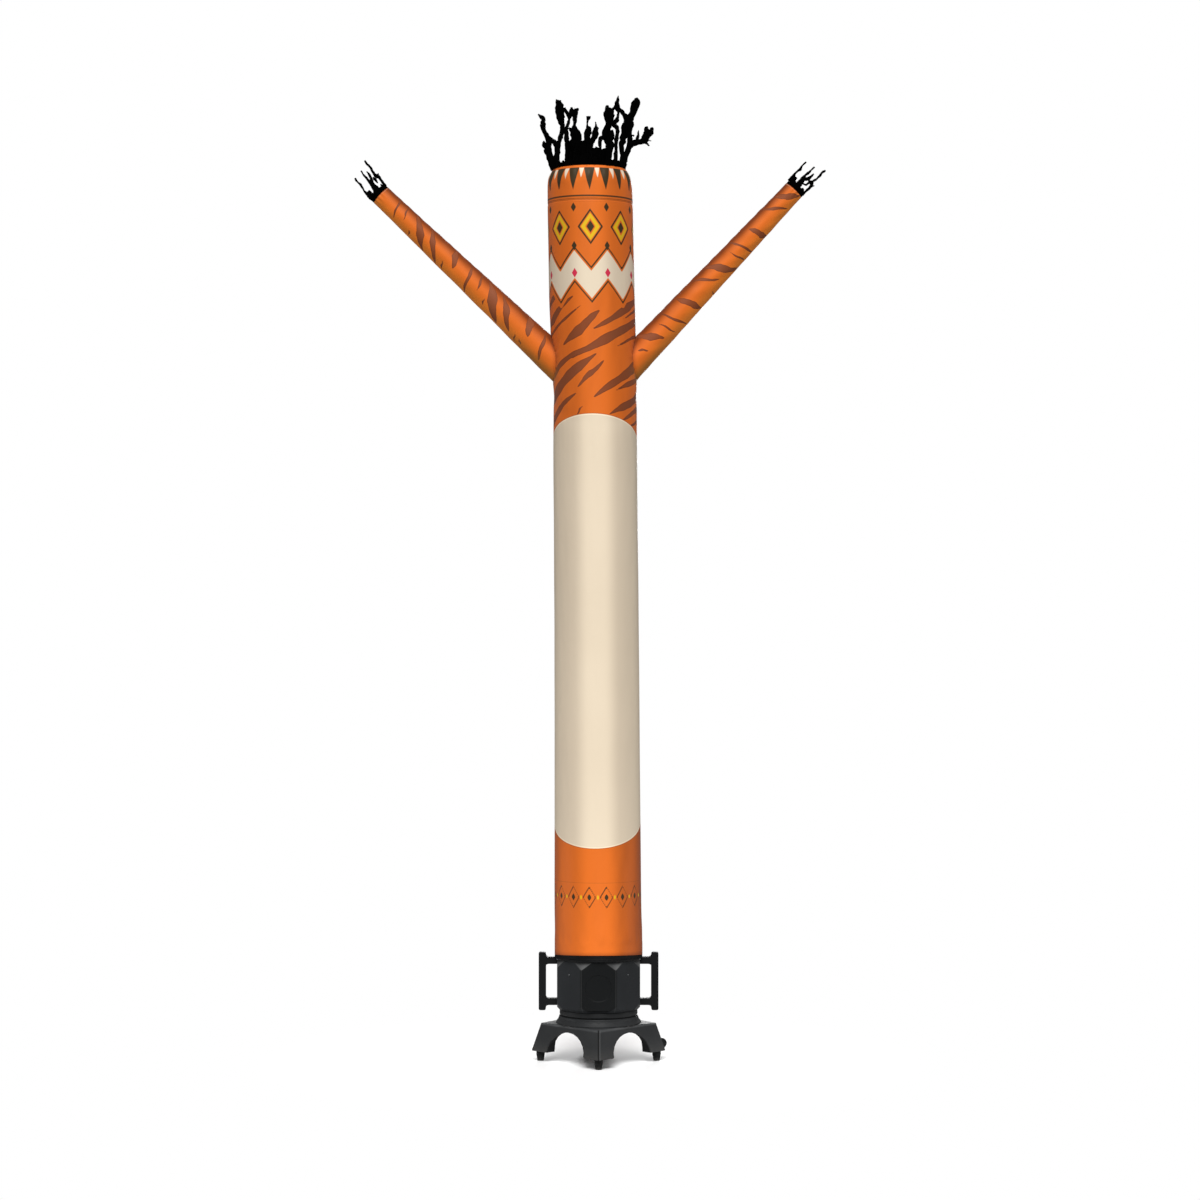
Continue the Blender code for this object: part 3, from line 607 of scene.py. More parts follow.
def drum_plastic():
    """The drum's plastic: as the base's, but the front facet is painted darker than the side facets, a
    painted shade."""
    finish = Finish("drum_plastic")
    front = finish.step(finish.place()["Y"], -0.1395, -0.1425)
    cloud, grain, scuffs = plastic_marks(finish, 6.0, 40.0, 7.0)
    side = finish.mix(finish.step(cloud, 0.3, 0.7), linear(27, 29, 31), linear(36, 38, 40))
    # painted shade: the front facet darker than the side facets
    panel = finish.mix(finish.step(cloud, 0.3, 0.7), linear(10, 12, 13), linear(15, 17, 18))
    colour = finish.mix(front, side, panel)
    colour = finish.mix(finish.step(scuffs, 0.67, 0.75, 0.0, 0.25), colour, linear(58, 60, 62))
    # painted highlight on the cut corners and along the corner edges
    colour = finish.mix(finish.mark("worn"), colour, linear(98, 98, 98))
    normal = plastic_face(finish, grain, scuffs, 0.45, 0.0002, 0.2)
    shine = finish.step(cloud, 0.3, 0.7, 0.52, 0.62)
    return finish.set(Base_Color=colour, Roughness=shine, Normal=normal, Specular_IOR_Level=0.12)


def foot_rubber():
    """Matt black rubber with a dusty, scuffed lower end."""
    finish = Finish("foot_rubber")
    rub = finish.noise(120.0, 5.0)
    low = finish.sums("MULTIPLY", finish.step(finish.place()["Z"], 0.014, 0.0), rub)
    colour = finish.mix(finish.step(rub, 0.35, 0.7), linear(15, 16, 16), linear(25, 26, 26))
    colour = finish.mix(low, colour, linear(60, 58, 56))
    normal = finish.bump(rub, 0.0004, 0.4)
    return finish.set(Base_Color=colour, Roughness=0.74, Normal=normal, Specular_IOR_Level=0.12)


def screw_steel():
    """Blackened steel, worn in specks."""
    finish = Finish("blackened_screw")
    worn = finish.noise(420.0, 3.0)
    colour = finish.mix(finish.step(worn, 0.4, 0.7), linear(70, 72, 74), linear(128, 130, 132))
    normal = finish.bump(worn, 0.0001, 0.5)
    return finish.set(Base_Color=colour, Roughness=0.34, Normal=normal, Metallic=1.0)


NYLON = printed_nylon()
BLACK_NYLON = black_nylon()
DRUM_PLASTIC = drum_plastic()
BASE_PLASTIC = base_plastic("base_plastic", linear(33, 34, 35), linear(42, 43, 44))
# the rounded edges' plastic is paler: a painted highlight
HIGHLIT_EDGE_PLASTIC = base_plastic("highlit_edge_plastic", linear(48, 49, 50), linear(62, 63, 64))
# the neck's plastic is darker than the base's: painted shade under the drum
SHADED_NECK_PLASTIC = moulded_plastic("shaded_neck_plastic", linear(30, 31, 32), 0.50)
FLARE_PLASTIC = moulded_plastic("flare_plastic", linear(37, 38, 39), 0.44, dark_below=0.1358)
TRIM_PLASTIC = moulded_plastic("black_trim_plastic", linear(12, 13, 14), 0.56, 0.35, 0.0)
RUBBER = foot_rubber()
SCREW = screw_steel()

# ---- the print ------------------------------------------------------------------
FAR = 0.05                      # a distance that is outside every mark

# tiger stripes on the tube's front, each a tapered stroke: its two ends as
# metres right of the tube's middle, seen from the front, and height; half its
# width; and how far its middle bows up
FRONT_STRIPES = np.array(
    [
        (-0.151, 2.560, -0.063, 2.662, 0.0115, -0.004),
        (-0.153, 2.527, -0.036, 2.628, 0.0050, -0.006),
        (-0.104, 2.493, 0.025, 2.612, 0.0145, -0.003),
        (0.000, 2.546, 0.157, 2.655, 0.0125, 0.005),
        (0.103, 2.585, 0.156, 2.617, 0.0044, 0.000),
        (-0.151, 2.372, -0.011, 2.493, 0.0098, 0.005),
        (-0.078, 2.446, 0.156, 2.577, 0.0145, 0.010),
        (0.075, 2.488, 0.155, 2.522, 0.0052, 0.003),
        (-0.149, 2.300, 0.007, 2.463, 0.0174, -0.004),
        (-0.064, 2.346, 0.035, 2.439, 0.0080, 0.000),
        (-0.007, 2.310, 0.152, 2.448, 0.0145, 0.006),
        (-0.149, 2.215, -0.067, 2.328, 0.0110, 0.003),
        (0.070, 2.336, 0.151, 2.374, 0.0088, 0.002),
        (0.118, 2.390, 0.150, 2.413, 0.0045, 0.000),
        (0.048, 2.252, 0.150, 2.312, 0.0135, 0.005),
        (-0.067, 2.249, -0.044, 2.284, 0.0030, 0.000),
        (0.091, 2.234, 0.150, 2.274, 0.0082, 0.000),
        (0.110, 2.208, 0.150, 2.230, 0.0045, 0.000),
        (-0.152, 2.630, -0.100, 2.685, 0.0100, 0.000),
    ]
)
# stripes on the sleeves: metres back from the hand and share of the way from
# the upper to the lower edge, at both ends, and half the width
LEFT_STRIPES = np.array(
    [
        (0.055, 0.00, 0.090, 0.89, 0.0036),
        (0.100, 0.07, 0.121, 0.63, 0.0027),
        (0.142, 0.04, 0.242, 0.98, 0.0125),
        (0.208, 0.04, 0.304, 0.98, 0.0090),
        (0.160, 0.73, 0.168, 0.94, 0.0030),
        (0.317, 0.72, 0.334, 0.98, 0.0030),
        (0.325, 0.04, 0.363, 0.67, 0.0105),
        (0.404, 0.04, 0.447, 0.99, 0.0054),
        (0.450, 0.02, 0.478, 0.67, 0.0038),
        (0.487, 0.06, 0.601, 0.97, 0.0148),
        (0.514, 0.64, 0.524, 0.88, 0.0030),
        (0.556, 0.10, 0.654, 0.88, 0.0096),
        (0.676, 0.77, 0.691, 0.97, 0.0030),
        (0.698, 0.81, 0.718, 0.91, 0.0030),
        (0.670, 0.01, 0.716, 0.58, 0.0125),
        (0.754, 0.11, 0.799, 0.88, 0.0060),
    ]
)
RIGHT_STRIPES = np.array(
    [
        (0.068, 0.07, 0.002, 0.92, 0.0112),
        (0.132, 0.05, 0.062, 0.89, 0.0056),
        (0.208, 0.24, 0.183, 1.00, 0.0100),
        (0.289, 0.03, 0.253, 1.00, 0.0041),
        (0.316, 0.30, 0.294, 1.00, 0.0028),
        (0.416, 0.03, 0.331, 1.00, 0.0118),
        (0.482, 0.05, 0.406, 0.81, 0.0050),
        (0.457, 0.85, 0.455, 1.00, 0.0024),
        (0.560, 0.10, 0.521, 0.98, 0.0106),
        (0.638, 0.06, 0.596, 0.99, 0.0040),
        (0.668, 0.21, 0.646, 0.91, 0.0028),
        (0.754, 0.04, 0.689, 0.75, 0.0112),
        (0.786, 0.36, 0.758, 0.65, 0.0033),
    ]
)
BELLY_TOP = 2.2500              # middle of the cream panel's upper arc
BELLY_LOW = 0.7584              # middle of its lower arc
BELLY_HALF = 0.285              # half its width round the tube
# heights of the head's ornament and of the hem's border
POINTS_FROM = 3.105
DIAMONDS_AT = 2.900
ZIGZAG_AT = 2.735
ZIGZAG_RISE = 0.036             # how far it goes up and down from there
BORDER_AT = 0.585
STRIPES_FROM = 0.66             # no stripe reaches lower, to keep the border clear
# strokes in the front view: the tube's radius there, and how far out a stroke's
# end has to be to run on round the side, by how much
SEEN_RADIUS = 0.1485
NEAR_SIDE = 0.1465
RUN_ON = 0.035


def strokes(u, v, ends, half, bow=0.0, period=None, seed=0):
    """Distance to the nearest of some tapered strokes. Along a stroke, t goes
    from 0 to 1, its middle line bows by bow * 4t(1 - t) and wavers a little,
    and its half width is half * sin(pi t)^0.85 with a slow ripple."""
    rng = np.random.default_rng(seed)
    nearest = np.full(np.shape(u), FAR)
    for (u0, v0, u1, v1), width, bend in zip(ends, half, np.broadcast_to(bow, len(half))):
        across, up = u - (u0 + u1) / 2, v - (v0 + v1) / 2
        if period:
            across = wrap(across, period)
        length = math.hypot(u1 - u0, v1 - v0)
        du, dv = (u1 - u0) / length, (v1 - v0) / length
        along = across * du + up * dv
        side = -across * dv + up * du
        t = np.clip(along / length + 0.5, 0, 1)
        p, q = rng.uniform(0, 6.28, 2)
        side = side - bend * 4 * t * (1 - t) - 0.0016 * np.sin(9 * t + p)
        reach = 1.08 * width * np.sin(math.pi * (0.02 + 0.96 * t)) ** 0.85
        reach = reach * (1 + 0.12 * np.sin(13 * t + q) + 0.05 * np.sin(31 * t + p))
        beyond = np.maximum(np.abs(along) - length / 2, 0)
        nearest = np.minimum(nearest, np.hypot(np.abs(side), beyond) - np.where(beyond > 0, 0, reach))
    return nearest


def lozenge(u, v, half_wide, half_high):
    """Distance to a diamond: |u| / half_wide + |v| / half_high is 1 on it."""
    share = np.abs(u) / half_wide + np.abs(v) / half_high - 1
    return share * half_wide * half_high / math.hypot(half_wide, half_high)


def zigzag(u, v, period, rise, half):
    """Distance to a band of even thickness that goes up and down by rise."""
    slope = rise / (period / 4)
    line = (np.abs(wrap(u, period)) - period / 4) * slope
    return np.abs(v - line) / math.hypot(1, slope) - half


def front_ends(rows):
    """Stroke ends from the front view, as arcs round the tube. Strokes that
    reach the tube's side run on round it."""
    ends = []
    for x0, z0, x1, z1, *_ in rows:
        pair = []
        for x, z in ((x0, z0), (x1, z1)):
            turn = math.asin(max(-1.0, min(1.0, x / SEEN_RADIUS)))
            extra = RUN_ON if abs(x) > NEAR_SIDE else 0.0
            pair += [turn * PRINT_RADIUS + math.copysign(extra, x), z + math.copysign(extra * 0.8, x)]
        ends.append(pair)
    return ends


def back_ends():
    """The stripes round the back, which the photograph doesn't show: long
    tapered ones that slope as the front's do, from either side of the belly
    panel towards the seam, with short ones in the spaces."""
    rng = np.random.default_rng(21)
    ends, half = [], []
    for side in (-1, 1):
        z = 0.60 + 0.03 * side
        while z < 3.02:
            long = rng.random() < 0.66
            length = rng.uniform(0.12, 0.19) if long else rng.uniform(0.05, 0.09)
            near = rng.uniform(0.268, 0.300) if long else rng.uniform(0.32, 0.40)
            slope = rng.uniform(0.45, 0.85)
            low, high = sorted((side * near, side * (near + length)))
            rise = slope * length
            ends.append((low, z - rise / 2, high, z + rise / 2))
            half.append(rng.uniform(0.0095, 0.0155) if long else rng.uniform(0.0035, 0.0070))
            z += rng.uniform(0.040, 0.058) if long else rng.uniform(0.026, 0.036)
    return ends, half


def tube_print(u, v):
    """All the tube's marks, at arcs u round from the front and heights v."""
    belly = np.maximum.reduce(
        [
            np.abs(u) - BELLY_HALF,
            (v - BELLY_TOP + 0.04 * u + 1.55 * u**2) / np.hypot(1, 3.1 * u + 0.04),
            (BELLY_LOW + 0.03 * u + 1.5 * u**2 - v) / np.hypot(1, 3.0 * u + 0.03),
        ]
    )
    half, bow = FRONT_STRIPES[:, 4], FRONT_STRIPES[:, 5]
    front = strokes(u, v, front_ends(FRONT_STRIPES), half, bow, ROUND, seed=3)
    ends, half = back_ends()
    back = strokes(u, v, ends, half, 0.006, ROUND, seed=4)
    back = np.where(np.abs(u) > BELLY_HALF - 0.03, back, FAR)
    stripe = np.maximum(np.minimum(front, back), 0.0045 - belly)

    # The head's band is a plain repeat of points, diamonds and a zigzag.
    eighth, sixteenth = ROUND / 8, ROUND / 16
    at = wrap(u, eighth)
    between = wrap(u + eighth / 2, eighth)
    high = v - DIAMONDS_AT
    heart = lozenge(at, high, 0.0135, 0.021)
    down = POINTS_FROM - v
    points = (np.abs(wrap(u, sixteenth)) / 0.0215 + down / 0.078 - 1) * 0.0207
    small_points = (np.abs(wrap(u + sixteenth / 2, sixteenth)) / 0.011 + down / 0.040 - 1) * 0.0106
    over = v - ZIGZAG_AT
    band = zigzag(u, over, eighth, ZIGZAG_RISE, 0.030)
    # In order: points, each diamond's frame and heart, small diamonds over and
    # under, the zigzag's two edges, and two lines over the level seam.
    dark = np.minimum.reduce(
        [
            np.maximum(points, 0.002 - down),
            np.maximum(lozenge(at, high, 0.045, 0.062), -lozenge(at, high, 0.0375, 0.0525)),
            heart,
            lozenge(between, v - 2.968, 0.010, 0.016),
            lozenge(between, v - 2.835, 0.010, 0.016),
            np.abs(zigzag(u, over, eighth, ZIGZAG_RISE, 0.0375)) - 0.0026,
            np.abs(v - 3.007) - 0.0026,
            np.abs(v - 2.998) - 0.0012,
        ]
    )
    cream = np.minimum.reduce([band, np.maximum(small_points, 0.004 - down)])
    amber = np.maximum(lozenge(at, high, 0.0335, 0.047), 0.004 - heart)
    rose = lozenge(between, over - ZIGZAG_RISE + 0.030, 0.0105, 0.017)
    ornament = np.minimum.reduce([np.abs(high) - 0.108, band - 0.012, np.abs(v - 3.06) - 0.062])
    stripe = np.where(v > 2.62, np.maximum(stripe, 0.010 - ornament), stripe)

    # Above the hem is a border of diamonds between two lines.
    above = v - BORDER_AT
    border = lozenge(wrap(u + sixteenth / 2, sixteenth), above, 0.022, 0.036)
    dark = np.minimum.reduce(
        [
            dark,
            np.abs(border) - 0.0018,
            border + 0.012,
            np.abs(v - 0.636) - 0.0016,
            np.abs(v - 0.534) - 0.0016,
        ]
    )
    amber = np.minimum(amber, lozenge(wrap(u, sixteenth), above, 0.005, 0.009))
    stripe = np.where(v < 0.72, np.maximum(stripe, STRIPES_FROM - v), stripe)
    near = dict(stripe=stripe, belly=belly, cream=cream, dark=dark, amber=amber, rose=rose)
    return {key: (np.clip(value, -FAR, FAR), FAR) for key, value in near.items()}


# ---- sleeves --------------------------------------------------------------------
def arm_lines(arm):
    """Where a sleeve ends, the way it points, and its upper side."""
    rise = math.radians(arm["rise"])
    way = np.array([arm["side"] * math.cos(rise), 0.0, math.sin(rise)])
    end = np.array([AXIS + arm["end"][0], 0.0, arm["end"][1]])
    up = np.array([-way[2] * arm["side"], 0.0, way[0] * arm["side"]])
    return end, way, up


def arm_relief(arm, turn, back):
    """Folds of a sleeve: scallops along its upper side, where the seam draws
    the cloth in, slanting creases, and soft dents that die out at the hand."""
    side = arm["side"]
    grown = fade(back, 0.01, 0.07)
    top = np.clip(np.cos(turn), 0, 1) ** 2
    scallop = 0.0005 * top * np.cos(back * 2 * math.pi / 0.047 + side) * grown
    crease = 0.0007 * np.sin(back * 61 + 2.3 * np.cos(turn) + side) * np.sin(2 * turn) ** 2
    dents = 0.0009 * waver(2 * np.sin(turn) + 20 * back, 2 * np.cos(turn) - 13 * back, 5 + side)
    pinch = -0.0026 * bell(back, 0.30 + 0.02 * side, 0.012) * bell(turn, 0.5, 0.5)
    seam = -0.0012 * bell(wrap(turn - math.pi, 2 * math.pi), 0, 0.07)
    gathers = 0.0009 * np.cos(14 * turn + 1.0) * bell(back, 0.0, 0.02)
    return (scallop + crease + dents) * grown + pinch + seam + gathers


def arm_surface(arm, turn, back, offset=0.0):
    """Points at an angle from the sleeve's upper side and a distance back from
    the hand: end - way * back + radius * (up cos + depth sin)."""
    end, way, up = arm_lines(arm)
    radius = arm["tip"] + arm["widen"] * back + arm_relief(arm, turn, back) + offset
    depth = np.array([0.0, 1.0, 0.0])
    radius, turn, back = np.broadcast_arrays(radius, turn, back)
    return (
        end
        - way * back[..., None]
        + up * (radius * np.cos(turn))[..., None]
        + depth * (radius * np.sin(turn))[..., None]
    )


# ---- tube -----------------------------------------------------------------------
def tube_relief(turn, z):
    """Folds of the tube: slow swells, pleats over the collar and under the head
    seam, a drawn-in seam down the back, and troughs that pull at each armhole."""
    swell = 0.0011 * np.sin(2 * turn + 2.1 * z) * np.sin(1.7 * z + 0.6)
    swell = swell + 0.0008 * np.sin(3 * turn - 3.4 * z + 1.0)
    hem = 0.0012 * np.sin(9 * turn + 0.8) * bell(z, 0.455, 0.035)
    hem = hem + 0.0007 * np.sin(27 * turn) * bell(z, 0.425, 0.022)
    gathers = 0.0022 * np.cos(10 * turn + 0.4) * bell(z, 3.078, 0.022)
    gathers = gathers + 0.0011 * np.cos(31 * turn) * bell(z, 3.090, 0.014)
    pull = 0.0
    for arm in ARMS.values():
        off = np.clip(np.sin(turn) * arm["side"], 0, 1)
        across = np.cos(turn)
        pull = pull - 0.0035 * off * bell(across, 0.42, 0.16) * bell(z, 2.52, 0.10)
        pull = pull - 0.0030 * off * bell(across, -0.45, 0.16) * bell(z, 2.36, 0.12)
        pull = pull - 0.0025 * off * bell(z, 2.325 - 0.10 * np.abs(across), 0.03)
        slant = z - 2.46 - 0.20 * (across - 0.35)
        pull = pull - 0.0016 * off * bell(slant, 0, 0.012) * bell(across, 0.5, 0.22)
        pull = pull - 0.0012 * off * bell(slant, 0.05, 0.010) * bell(across, 0.45, 0.2)
    fine = 0.0007 * waver(7 * turn, 16 * z, 11) * (0.4 + 0.6 * bell(z, 2.45, 0.35))
    back = wrap(turn - math.pi, 2 * math.pi) * PRINT_RADIUS
    seam = -0.0016 * bell(back, 0, 0.0045)
    seam = seam + 0.0011 * np.sin(z * 2 * math.pi / 0.034) * bell(back, 0, 0.022)
    level = -0.0012 * bell(z, LEVEL_SEAM, 0.004)
    ends = fade(z, COLLAR_TOP, COLLAR_TOP + 0.03) * (1 - fade(z, 3.095, 3.112))
    return (swell + hem + gathers + pull + fine + seam + level) * ends


def tube_surface(turn, rise, offset=0.0):
    """Points at a bearing from the front and a rise: below 0 it is metres under
    the rounded shoulder's foot, and above 0 the share of the way up it."""
    on_wall = rise <= 0
    z_wall = np.clip(SHOULDER_FOOT + rise, HEM_LOW, SHOULDER_FOOT)
    share = np.clip(rise, 0, 1)
    facing = np.where(on_wall, 0.0, np.radians(follow(SHOULDER, 3, share)))
    z = np.where(on_wall, z_wall, follow(SHOULDER, 1, share))
    radius = np.where(on_wall, follow(TUBE_SECTIONS, 2, z_wall), follow(SHOULDER, 2, share))
    middle = np.where(on_wall, follow(TUBE_SECTIONS, 1, z_wall), HEAD_LEAN)
    middle = middle + (HEAD_LEAN - TUBE_SECTIONS[-1, 1]) * bell(np.where(on_wall, rise, FAR), 0, 0.02)
    out = radius + tube_relief(turn, z) + offset * np.cos(facing)
    # The hem's front edge is drawn up a little.
    lift = 0.013 * np.clip(np.cos(turn), 0, 1) * (1 - fade(z, HEM_LOW, HEM_LOW + 0.07))
    z = z + offset * np.sin(facing) + lift
    return np.stack([AXIS + middle + out * np.sin(turn), -out * np.cos(turn), z], -1)


def arm_root(arm, turn):
    """How far back from the hand each line along the sleeve meets the tube's
    side, found by halving the stretch that holds the crossing 30 times."""
    low, high = np.full(turn.shape, 0.5), np.full(turn.shape, 1.0)
    for _ in range(30):
        back = (low + high) / 2
        x, y, z = np.moveaxis(arm_surface(arm, turn, back), -1, 0)
        x = x - AXIS - follow(TUBE_SECTIONS, 1, z)
        bearing = np.arctan2(x, -y)
        wall = follow(TUBE_SECTIONS, 2, z) + tube_relief(bearing, z) + ABOVE_WALL
        outside = np.hypot(x, y) > wall
        low, high = np.where(outside, back, low), np.where(outside, high, back)
    return (low + high) / 2


def armhole_distance(points):
    """For points of the tube, how far the nearest point of an armhole is, and
    how far round the armhole that point lies, in metres."""
    flat = points.reshape(-1, 3)
    nearest, run = np.full(len(flat), FAR), np.zeros(len(flat))
    ring_turn = np.linspace(0, 2 * math.pi, 160, endpoint=False)
    for arm in ARMS.values():
        ring = arm_surface(arm, ring_turn, arm_root(arm, ring_turn))
        steps = np.linalg.norm(np.diff(ring, axis=0, append=ring[:1]), axis=1)
        around = np.concatenate([[0], np.cumsum(steps)[:-1]])
        close = np.flatnonzero(np.abs(flat - ring.mean(0)).max(1) < 0.14)
        apart = np.linalg.norm(flat[close, None] - ring[None], axis=2)
        best = apart.argmin(1)
        better = apart.min(1) < nearest[close]
        nearest[close] = np.where(better, apart.min(1), nearest[close])
        run[close] = np.where(better, around[best], run[close])
    return nearest.reshape(points.shape[:-1]), run.reshape(points.shape[:-1])


def even_rows(*spans):
    """Row places from spans of (start, end, count), joined end to end."""
    made = [np.linspace(start, end, count, endpoint=False) for start, end, count in spans]
    return np.concatenate([*made, [spans[-1][1]]])


def make_tube():
    """The printed tube, with closer columns on its front and closer rows where
    the print is finer."""
    columns = 200
    share = (np.arange(columns + 1) / columns) - 0.5
    turns = 2 * math.pi * share - 0.28 * np.sin(2 * math.pi * share)
    foot, above_hem = SHOULDER_FOOT, 0.52
    levels = (HEM_LOW, above_hem, 0.84, 2.16, 2.62, foot)
    counts = (20, 56, 164, 78, 112)
    spans = [(low - foot, high - foot, count) for low, high, count in zip(levels, levels[1:], counts)]
    rises = even_rows(*spans, (0.0, 1.0, 14))
    turn, rise = np.meshgrid(turns[:-1], rises, indexing="xy")
    outer = tube_surface(turn, rise)
    u = turn * PRINT_RADIUS
    v = np.where(rise > 0, foot + rise * SHOULDER_ARC, foot + rise)
    # puckers round the armholes
    apart, ring_run = armhole_distance(outer)
    puckers = 0.0010 * np.sin(ring_run * 2 * math.pi / 0.021) * np.exp(-apart / 0.016)
    puckers = puckers - 0.0012 * bell(apart, 0, 0.004)
    outer = outer + outward(turn) * puckers[..., None]

    # The inner wall is as fine as the outer one at the collar, to stay clear of it.
    at_collar = np.searchsorted(rises, above_hem - foot)
    above = np.linspace(at_collar, len(rises) - 1, 25).round().astype(int)
    coarse = np.concatenate([np.arange(at_collar), above])
    height = np.where(rise > 0, follow(SHOULDER, 1, np.clip(rise, 0, 1)), foot + rise)
    folds = tube_relief(turn, height)
    deeper = behind_folds(folds + puckers, coarse) - folds[coarse]
    inner = tube_surface(turn[coarse], rise[coarse], deeper - CLOTH)

    marks = tube_print(u, v)
    # seams: how far the nearest is, and how far along it the stitches are
    back = np.abs(np.abs(u) - ROUND / 2)
    hem = np.abs(v - HEM_STITCH)
    level = np.abs(v - LEVEL_SEAM)
    seam = np.minimum.reduce([back, level, np.maximum(hem - 0.0055, 0) + 0.0055, apart])
    run = np.where(back < np.minimum(level, hem), v, u)
    run = np.where(apart < np.minimum(back, level), ring_run, run)
    marks["seam"] = (seam, FAR)
    marks["run"] = (run, 0.0)
    # painted shade: darker round the armholes and at the hem's edge, where shade falls,
    # and down the lower tube's sides, where the light falls off, over soft patches of uneven print
    aside = np.abs(turn)
    drawn = 0.32 * bell(apart, 0, 0.018) + 0.10 * np.clip(waver(5 * turn, 9 * v, 30), 0, 1)
    drawn = drawn + 0.5 * bell(v, HEM_LOW, 0.008)
    below = 1 - fade(v, 0.82, 0.96)
    below = below * (1 - fade(aside, 1.9, 2.5))
    drawn = drawn + below * (0.24 * fade(turn, 0.3, 0.8) + 0.38 * fade(aside, 0.85, 1.3))
    marks["shade"] = (np.clip(drawn, 0, 0.8), 0.1)
    pit = np.clip(np.abs(np.sin(turn)), 0, 1) ** 8 * bell(v, 2.395, 0.030)
    marks["olive"] = (0.55 * pit * bell(apart, 0, 0.05), 0.0)
    marks["ochre"] = (0 * u, 0.0)
    # painted shade: the tube darker away from its front, as light falls off round it, a little less so
    # further round
    marks["side"] = (fade(aside, 0.17, 0.58) * (1 - 0.55 * fade(aside, 0.7, 1.3)), 0.5)
    uv = np.stack(np.broadcast_arrays(turns * PRINT_RADIUS, v[:, :1]), -1)
    tube = cloth_skin("printed_tube", outer, inner, coarse, uv, NYLON, marks)
    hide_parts("tube_body", "tube_chest", "tube_head")
    return tube


def make_sleeve(name, arm, stripes):
    """A printed sleeve from its open hand to the ring where it meets the tube,
    and a little on, inside the armhole."""
    columns, rows = 112, 250
    turns = np.linspace(-math.pi, math.pi, columns + 1)
    seam_at = arm_root(arm, turns[:-1])
    root = seam_at + SEWN_IN
    share = np.linspace(0, 1, rows)[:, None]
    back = share * root
    turn = turns[:-1] + 0 * back
    outer = arm_surface(arm, turn, back)
    coarse = np.linspace(0, rows - 1, 20).round().astype(int)
    folds = arm_relief(arm, turn, back)
    deeper = behind_folds(folds, coarse) - folds[coarse]
    inner = arm_surface(arm, turn[coarse], back[coarse], deeper - CLOTH)
    # Both halves, front and back, are printed alike.
    half_turn = np.abs(turn)
    girth = SLEEVE_PRINT_RADIUS
    ends = [
        [math.acos(1 - 2 * share0) * girth, back0, math.acos(1 - 2 * share1) * girth, back1]
        for back0, share0, back1, share1, _ in stripes
    ]
    if arm["side"] < 0:
        ends = [[*end[2:], *end[:2]] for end in ends]
    stripe = strokes(half_turn * girth, back, ends, stripes[:, 4], seed=6 + arm["side"])
    lower = half_turn / math.pi
    near_root = fade(back, 0.60, 0.80)
    marks = {key: (np.full(turn.shape, FAR), FAR) for key in ("belly", "dark", "amber", "rose")}
    marks["stripe"] = (np.clip(stripe, -FAR, FAR), FAR)
    # painted shade: the sleeve's upper side darkened, and a band where it meets the tube
    shade = 0.95 * fade(lower, 0.52, 0.17) * (1 + 0.06 * waver(3 * turn, 30 * back, 41))
    shade = shade + 0.3 * bell(seam_at - back, 0, 0.014)
    marks["shade"] = (np.clip(shade, 0, 0.97), 0.1)
    # a thin pale line at the hand's hem, a painted highlight on its edge
    marks["cream"] = (np.abs(back - 0.0020) - 0.0010, FAR)
    marks["olive"] = (0.7 * fade(lower, 0.62, 0.85) * near_root, 0.0)
    # partly print, partly painted light: an ochre band along the underside, made bright to lift the shade
    # there
    marks["ochre"] = (0.85 * fade(lower, 0.52, 0.90) * (1 - 0.6 * near_root), 0.0)
    marks["side"] = (0 * lower, 0.0)
    under = (math.pi - half_turn) * (arm["tip"] + arm["widen"] * back)
    at_root = np.abs(seam_at - back)
    seam = np.minimum.reduce([under, at_root, back + 0.0045])
    run = np.where(under < at_root, back, turn * girth)
    run = np.where(back < np.minimum(under, at_root), turn * girth, run)
    marks["seam"] = (np.clip(seam, 0, FAR), FAR)
    marks["run"] = (run, 0.0)
    uv = np.stack(np.broadcast_arrays(turns * girth, share * root.mean()), -1)
    # Its columns run the other way round on the left, so that the faces of both
    # sleeves point outwards.
    if arm["side"] < 0:
        outer, inner, uv = outer[:, ::-1], inner[:, ::-1], uv[:, ::-1]
        marks = {key: (value[:, ::-1], plain) for key, (value, plain) in marks.items()}
    sleeve = cloth_skin(f"printed_sleeve_{name}", outer, inner, coarse, uv, NYLON, marks)
    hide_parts(f"arm_{name}")
    return sleeve, float(root.mean())


